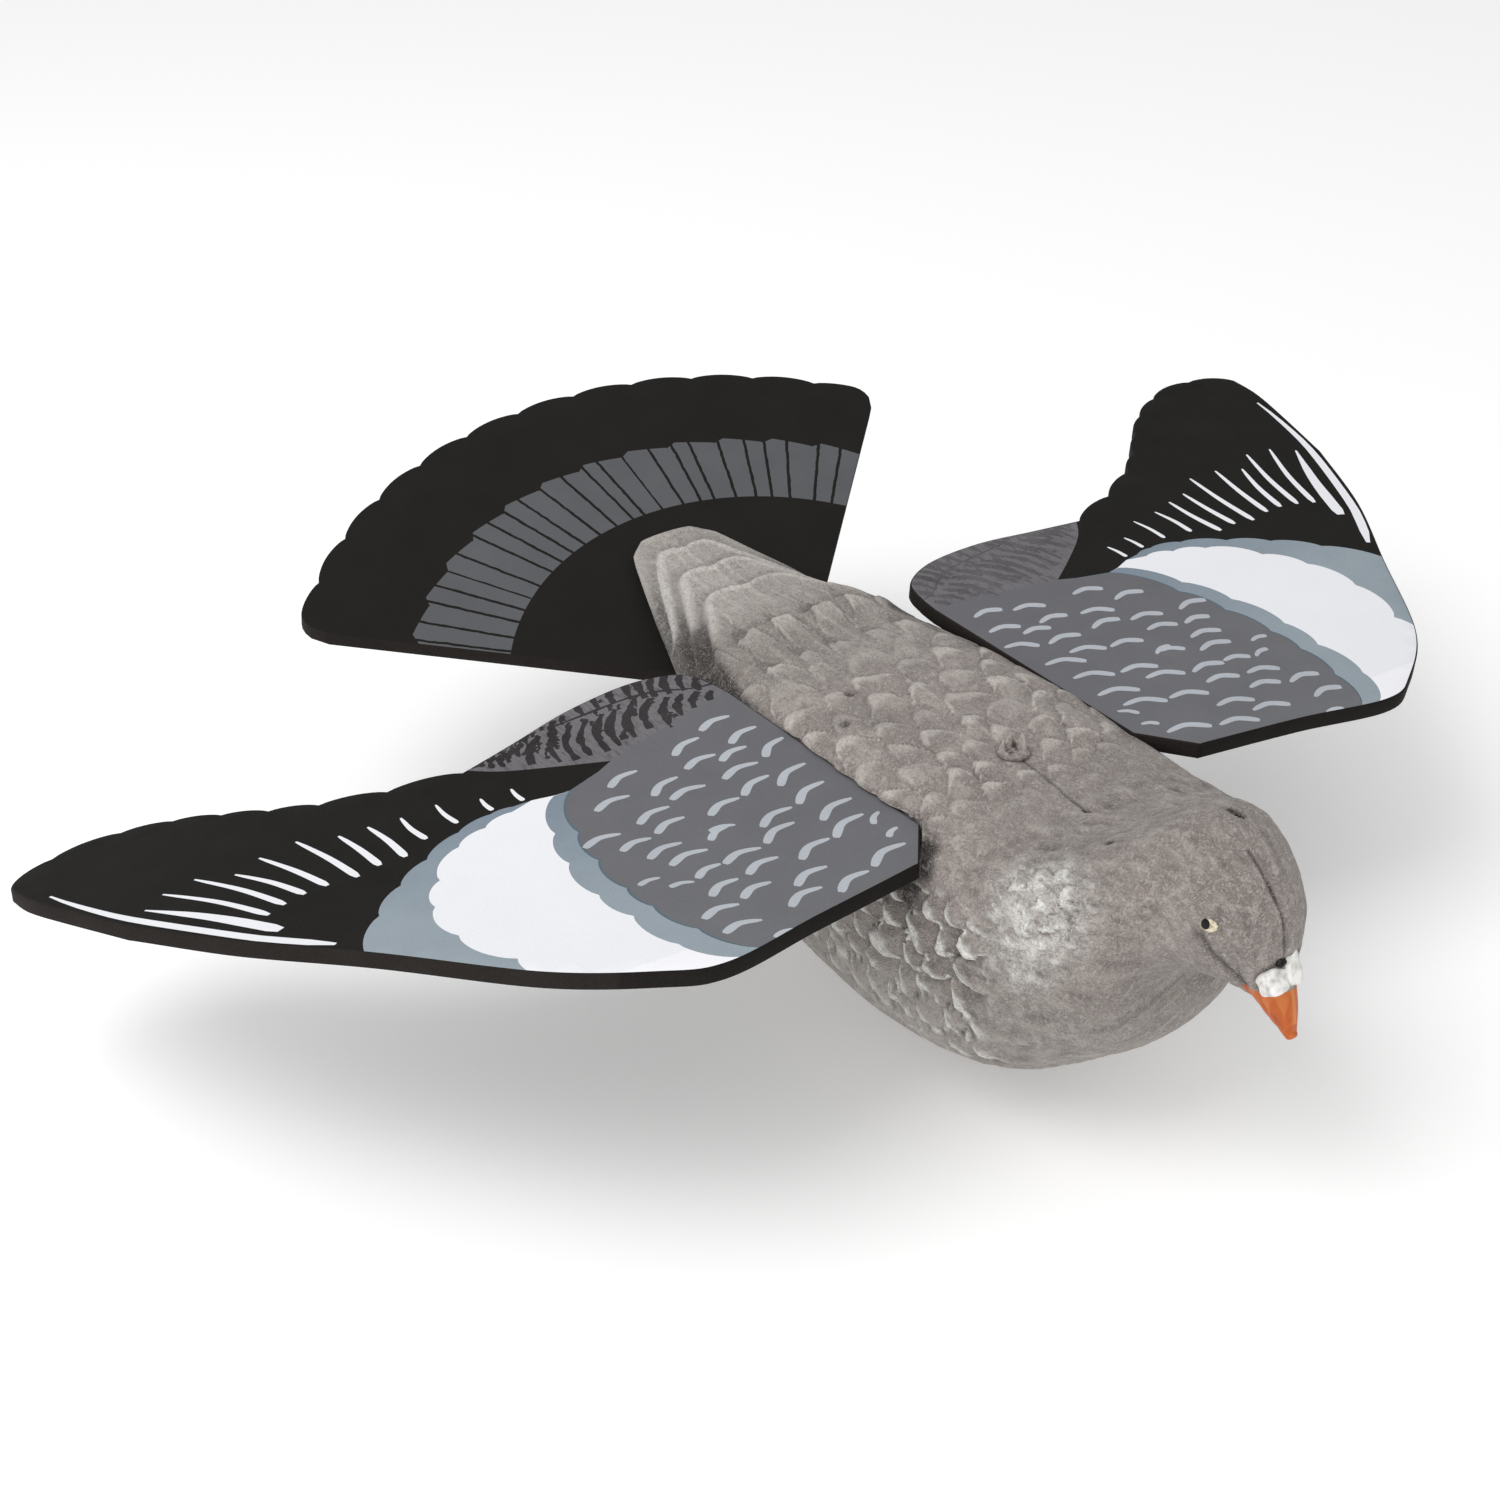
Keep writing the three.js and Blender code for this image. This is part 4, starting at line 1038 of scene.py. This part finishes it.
# A dome over a plane curve's inside: rings of points that close at a pole, over a base point inside the body.
def domedPatch(name, centre, normal, upward, rings, materials, kindOfRing):
    normal = np.array(normal) / np.linalg.norm(normal)
    side = np.cross(upward, normal)
    side /= np.linalg.norm(side)
    steps = len(rings[0])
    numbers = np.arange(len(rings) * steps).reshape(-1, steps).tolist()
    pole, base = len(rings) * steps, len(rings) * steps + 1
    faces = facesBetween(numbers)
    faces += [[numbers[-1][i], numbers[-1][(i + 1) % steps], pole] for i in range(steps)]
    faces += [[(i + 1) % steps, i, base] for i in range(steps)]
    points = np.vstack(rings + [rings[-1].mean(axis=0), (0, 0, -2.0)])
    return newPiece(name, points @ np.array([side, np.cross(normal, side), normal]) + centre, faces,
                    materials, np.repeat(kindOfRing + kindOfRing[:1], steps))


eyeLook = {"place": (19.2, -144.0, 108.6), "outward": (0.88, -0.46, 0.14), "iris": (2.5, 2.0),
           "pupil": (1.4, 1.75), "pupilShift": (1.15, 0.35), "dome": 0.9, "domeRadius": 3.4, "steps": 32}


def makeEye(name, side):
    look = eyeLook
    turn = np.arange(look["steps"]) * 2 * math.pi / look["steps"]
    rings = []
    for share, shown in ((1.12, "iris"), (1.0, "iris"), (0.9, "iris"), (0.8, "iris"),
                         (1.0, "pupil"), (0.85, "pupil"), (0.5, "pupil"), (0.2, "pupil")):
        a, b = look[shown][0] * share * np.cos(turn), look[shown][1] * share * np.sin(turn)
        if shown == "pupil":
            a, b = a + side * look["pupilShift"][0], b + look["pupilShift"][1]
        lift = 0.05 if shown == "pupil" else -0.2 * (share > 1.05)   # the pupil stands proud, the rim is sunk
        dome = look["dome"] * (1 - (np.hypot(a, b) / look["domeRadius"]) ** 2)
        rings.append(np.column_stack([a, b, dome + lift]))
    place, outward = (np.array(look[key]) * (side, 1, 1) for key in ("place", "outward"))
    return domedPatch(name, place, outward, (0, 0, 1), rings, [finishes["iris"], finishes["pupil"]],
                      [0] * 4 + [1] * 4)


rightEye, leftEye = makeEye("rightEye", -1), makeEye("leftEye", 1)


# A lump of paint or moulding: a rounded block roughened by noise, turned about X. Square is 1 for an
# ellipsoid.
def lump(name, centre, radii, tip, square, roughness, size, material, seed):
    rows, steps = 32, 48
    points = [(0, 0, 1.0)]
    for r in range(1, rows):
        polar = math.pi * r / rows
        for i in range(steps):
            turn = 2 * math.pi * i / steps
            points.append((math.sin(polar) * math.cos(turn), math.sin(polar) * math.sin(turn),
                           math.cos(polar)))
    points = np.array(points + [(0, 0, -1.0)])
    points /= (np.abs(points) ** (2 / square)).sum(axis=1)[:, None] ** (square / 2)
    points *= radii * (1 + roughness * noiseOver(points * radii, size, seed))[:, None]
    points = points @ np.array(Matrix.Rotation(math.radians(tip), 3, "X")).T + centre
    faces = [[0, 1 + i, 1 + (i + 1) % steps] for i in range(steps)]
    for first in range(1, 1 + (rows - 2) * steps, steps):
        for i in range(steps):
            j = (i + 1) % steps
            faces.append([first + i, first + steps + i, first + steps + j, first + j])
    last = 1 + (rows - 2) * steps
    faces += [[last + (i + 1) % steps, last + i, len(points) - 1] for i in range(steps)]
    return newPiece(name, points, faces, [material])


# The cere is painted by hand, so its two lobes differ. Each lump is its centre, radii, tip, squareness,
# roughness, the size of that in mm, its finish and its seed.
lumpLook = {
    "rightCere": ((-4.9, -159.2, 90.5), (4.1, 3.7, 4.2), -34.0, 0.38, 0.09, 2.6, finishes["cere"], 3.0),
    "leftCere": ((1.3, -159.0, 93.4), (3.2, 3.4, 5.9), -24.0, 0.38, 0.09, 2.6, finishes["cere"], 5.0),
    # The nostrils are black lumps: painted shade where the notches of the nostrils are dark.
    "rightNostrilShade": ((-3.4, -160.0, 97.2), (1.9, 1.1, 1.5), -40.0, 0.9, 0.3, 1.4, finishes["pupil"], 9.0),
    "leftNostrilShade": ((4.2, -157.4, 93.6), (1.9, 1.1, 1.5), -40.0, 0.9, 0.3, 1.4, finishes["pupil"], 9.0),
}
headLumps = [lump(name, *look) for name, look in lumpLook.items()]

knobLook = {"place": (-0.6, bodyY(39) - 1.6, 32.15 * unit), "radius": 4.5, "height": 3.2, "rings": 26,
            "steps": 64, "crest": (0.78, 0.24),   # the crest's place and width, in radii
            "wrinkle": 2.6,                       # mm from fold to fold
            "holes": ((-1.5, 1.2, 1.1), (1.9, -0.7, 1.3)), "holeDepth": 2.6}   # place and radius of each hole


# The raised, crumpled ring on the back with its two small holes.
def makeKnob():
    look = knobLook
    turn = np.arange(look["steps"]) * 2 * math.pi / look["steps"]
    rings = []
    for r in range(look["rings"]):
        out = 1.35 * (1 - r / look["rings"])
        a, b = look["radius"] * out * np.cos(turn), look["radius"] * out * np.sin(turn)
        places = np.column_stack([a, b, np.full(len(a), 4.4 * look["wrinkle"])])
        wave = noiseOver(places, look["wrinkle"], 0.0)
        crest = math.exp(-((out - look["crest"][0]) / look["crest"][1]) ** 2)
        height = look["height"] * (crest * (0.75 + 1.7 * wave) + 0.2 * wave)
        for x, y, radius in look["holes"]:
            height -= look["holeDepth"] * np.clip(1 - np.hypot(a - x, b - y) / radius, 0, 1) ** 0.6
        rings.append(np.column_stack([a, b, height - (0.8 if out > 1.3 else 0.0)]))
    knob = domedPatch("backKnob", look["place"], (0, 0, 1), (0, 1, 0), rings, [finishes["flock"]],
                      [0] * len(rings))
    # The holes and the ring's foot get painted shade, and its crest a painted highlight.
    flat = np.array([v.co[:2] for v in knob.data.vertices]) / mm - np.array(look["place"][:2])
    dark = sum(np.clip(1.25 - np.hypot(flat[:, 0] + x, flat[:, 1] - y) / radius, 0, 1)
               for x, y, radius in look["holes"])
    far = np.hypot(flat[:, 0], flat[:, 1]) / look["radius"]
    addAttribute(knob, "toneAndShade", np.clip(dark * 1.4 + 0.35 * smoothStep(0.9, 1.3, far), 0, 1.2))
    addAttribute(knob, "rim", 0.7 * np.exp(-((far - look["crest"][0]) / 0.2) ** 2))
    return knob


knob = makeKnob()
print("head parts and knob made")


# Stage: a plain pale floor and soft studio light

paleFloor = newMaterial("paleFloor", {
    "Roughness": 0.9, "Specular IOR Level": 0.1, "Base Color": toLinear("#f4f4f4"),
    "Emission Color": toLinear("#ffffff"), "Emission Strength": 0.22,   # a light table: pale shadows
})[0]
floorHalf = 6000   # mm
corners = [(x * floorHalf, y * floorHalf, 0) for x, y in ((-1, -1), (1, -1), (1, 1), (-1, 1))]
floor = newPiece("floor", corners, [(0, 1, 2, 3)], [paleFloor])

lightLook = {"world": 0.64,   # power in watts, place and size in metres
             "key": (16.0, (-1.0, 0.2, 1.6), 1.2), "fill": (7.0, (-1.2, -1.3, 0.45), 1.2)}
world = bpy.data.worlds.new("studio")
world.use_nodes = True
setInputs(world.node_tree, world.node_tree.nodes["Background"], {"Color": toLinear("#ffffff"),
                                                                 "Strength": lightLook["world"]})
bpy.context.scene.world = world
for name in ("key", "fill"):
    power, place, size = lightLook[name]
    light = newObject(name, bpy.data.lights.new(name, "AREA"))
    light.data.energy, light.data.size = power, size
    light.location = place
    aim = Vector((0, 0, 0.1)) - Vector(place)
    light.rotation_euler = aim.to_track_quat("-Z", "Y").to_euler()
bpy.context.scene.view_settings.view_transform = "Standard"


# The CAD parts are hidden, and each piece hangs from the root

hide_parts("body")
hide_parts("right_wing")
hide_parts("left_wing")
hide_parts("fan_tail")
for piece, slotName in [(body, "flocked_body"), (knob, "flocked_body"), (rightEye, "flocked_body"),
                        (leftEye, "flocked_body"), (rightWing, "printed_foam"), (leftWing, "printed_foam"),
                        (fanTail, "black_foam")] + [(part, "flocked_body") for part in headLumps]:
    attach(piece, "root")

print("scene ready")
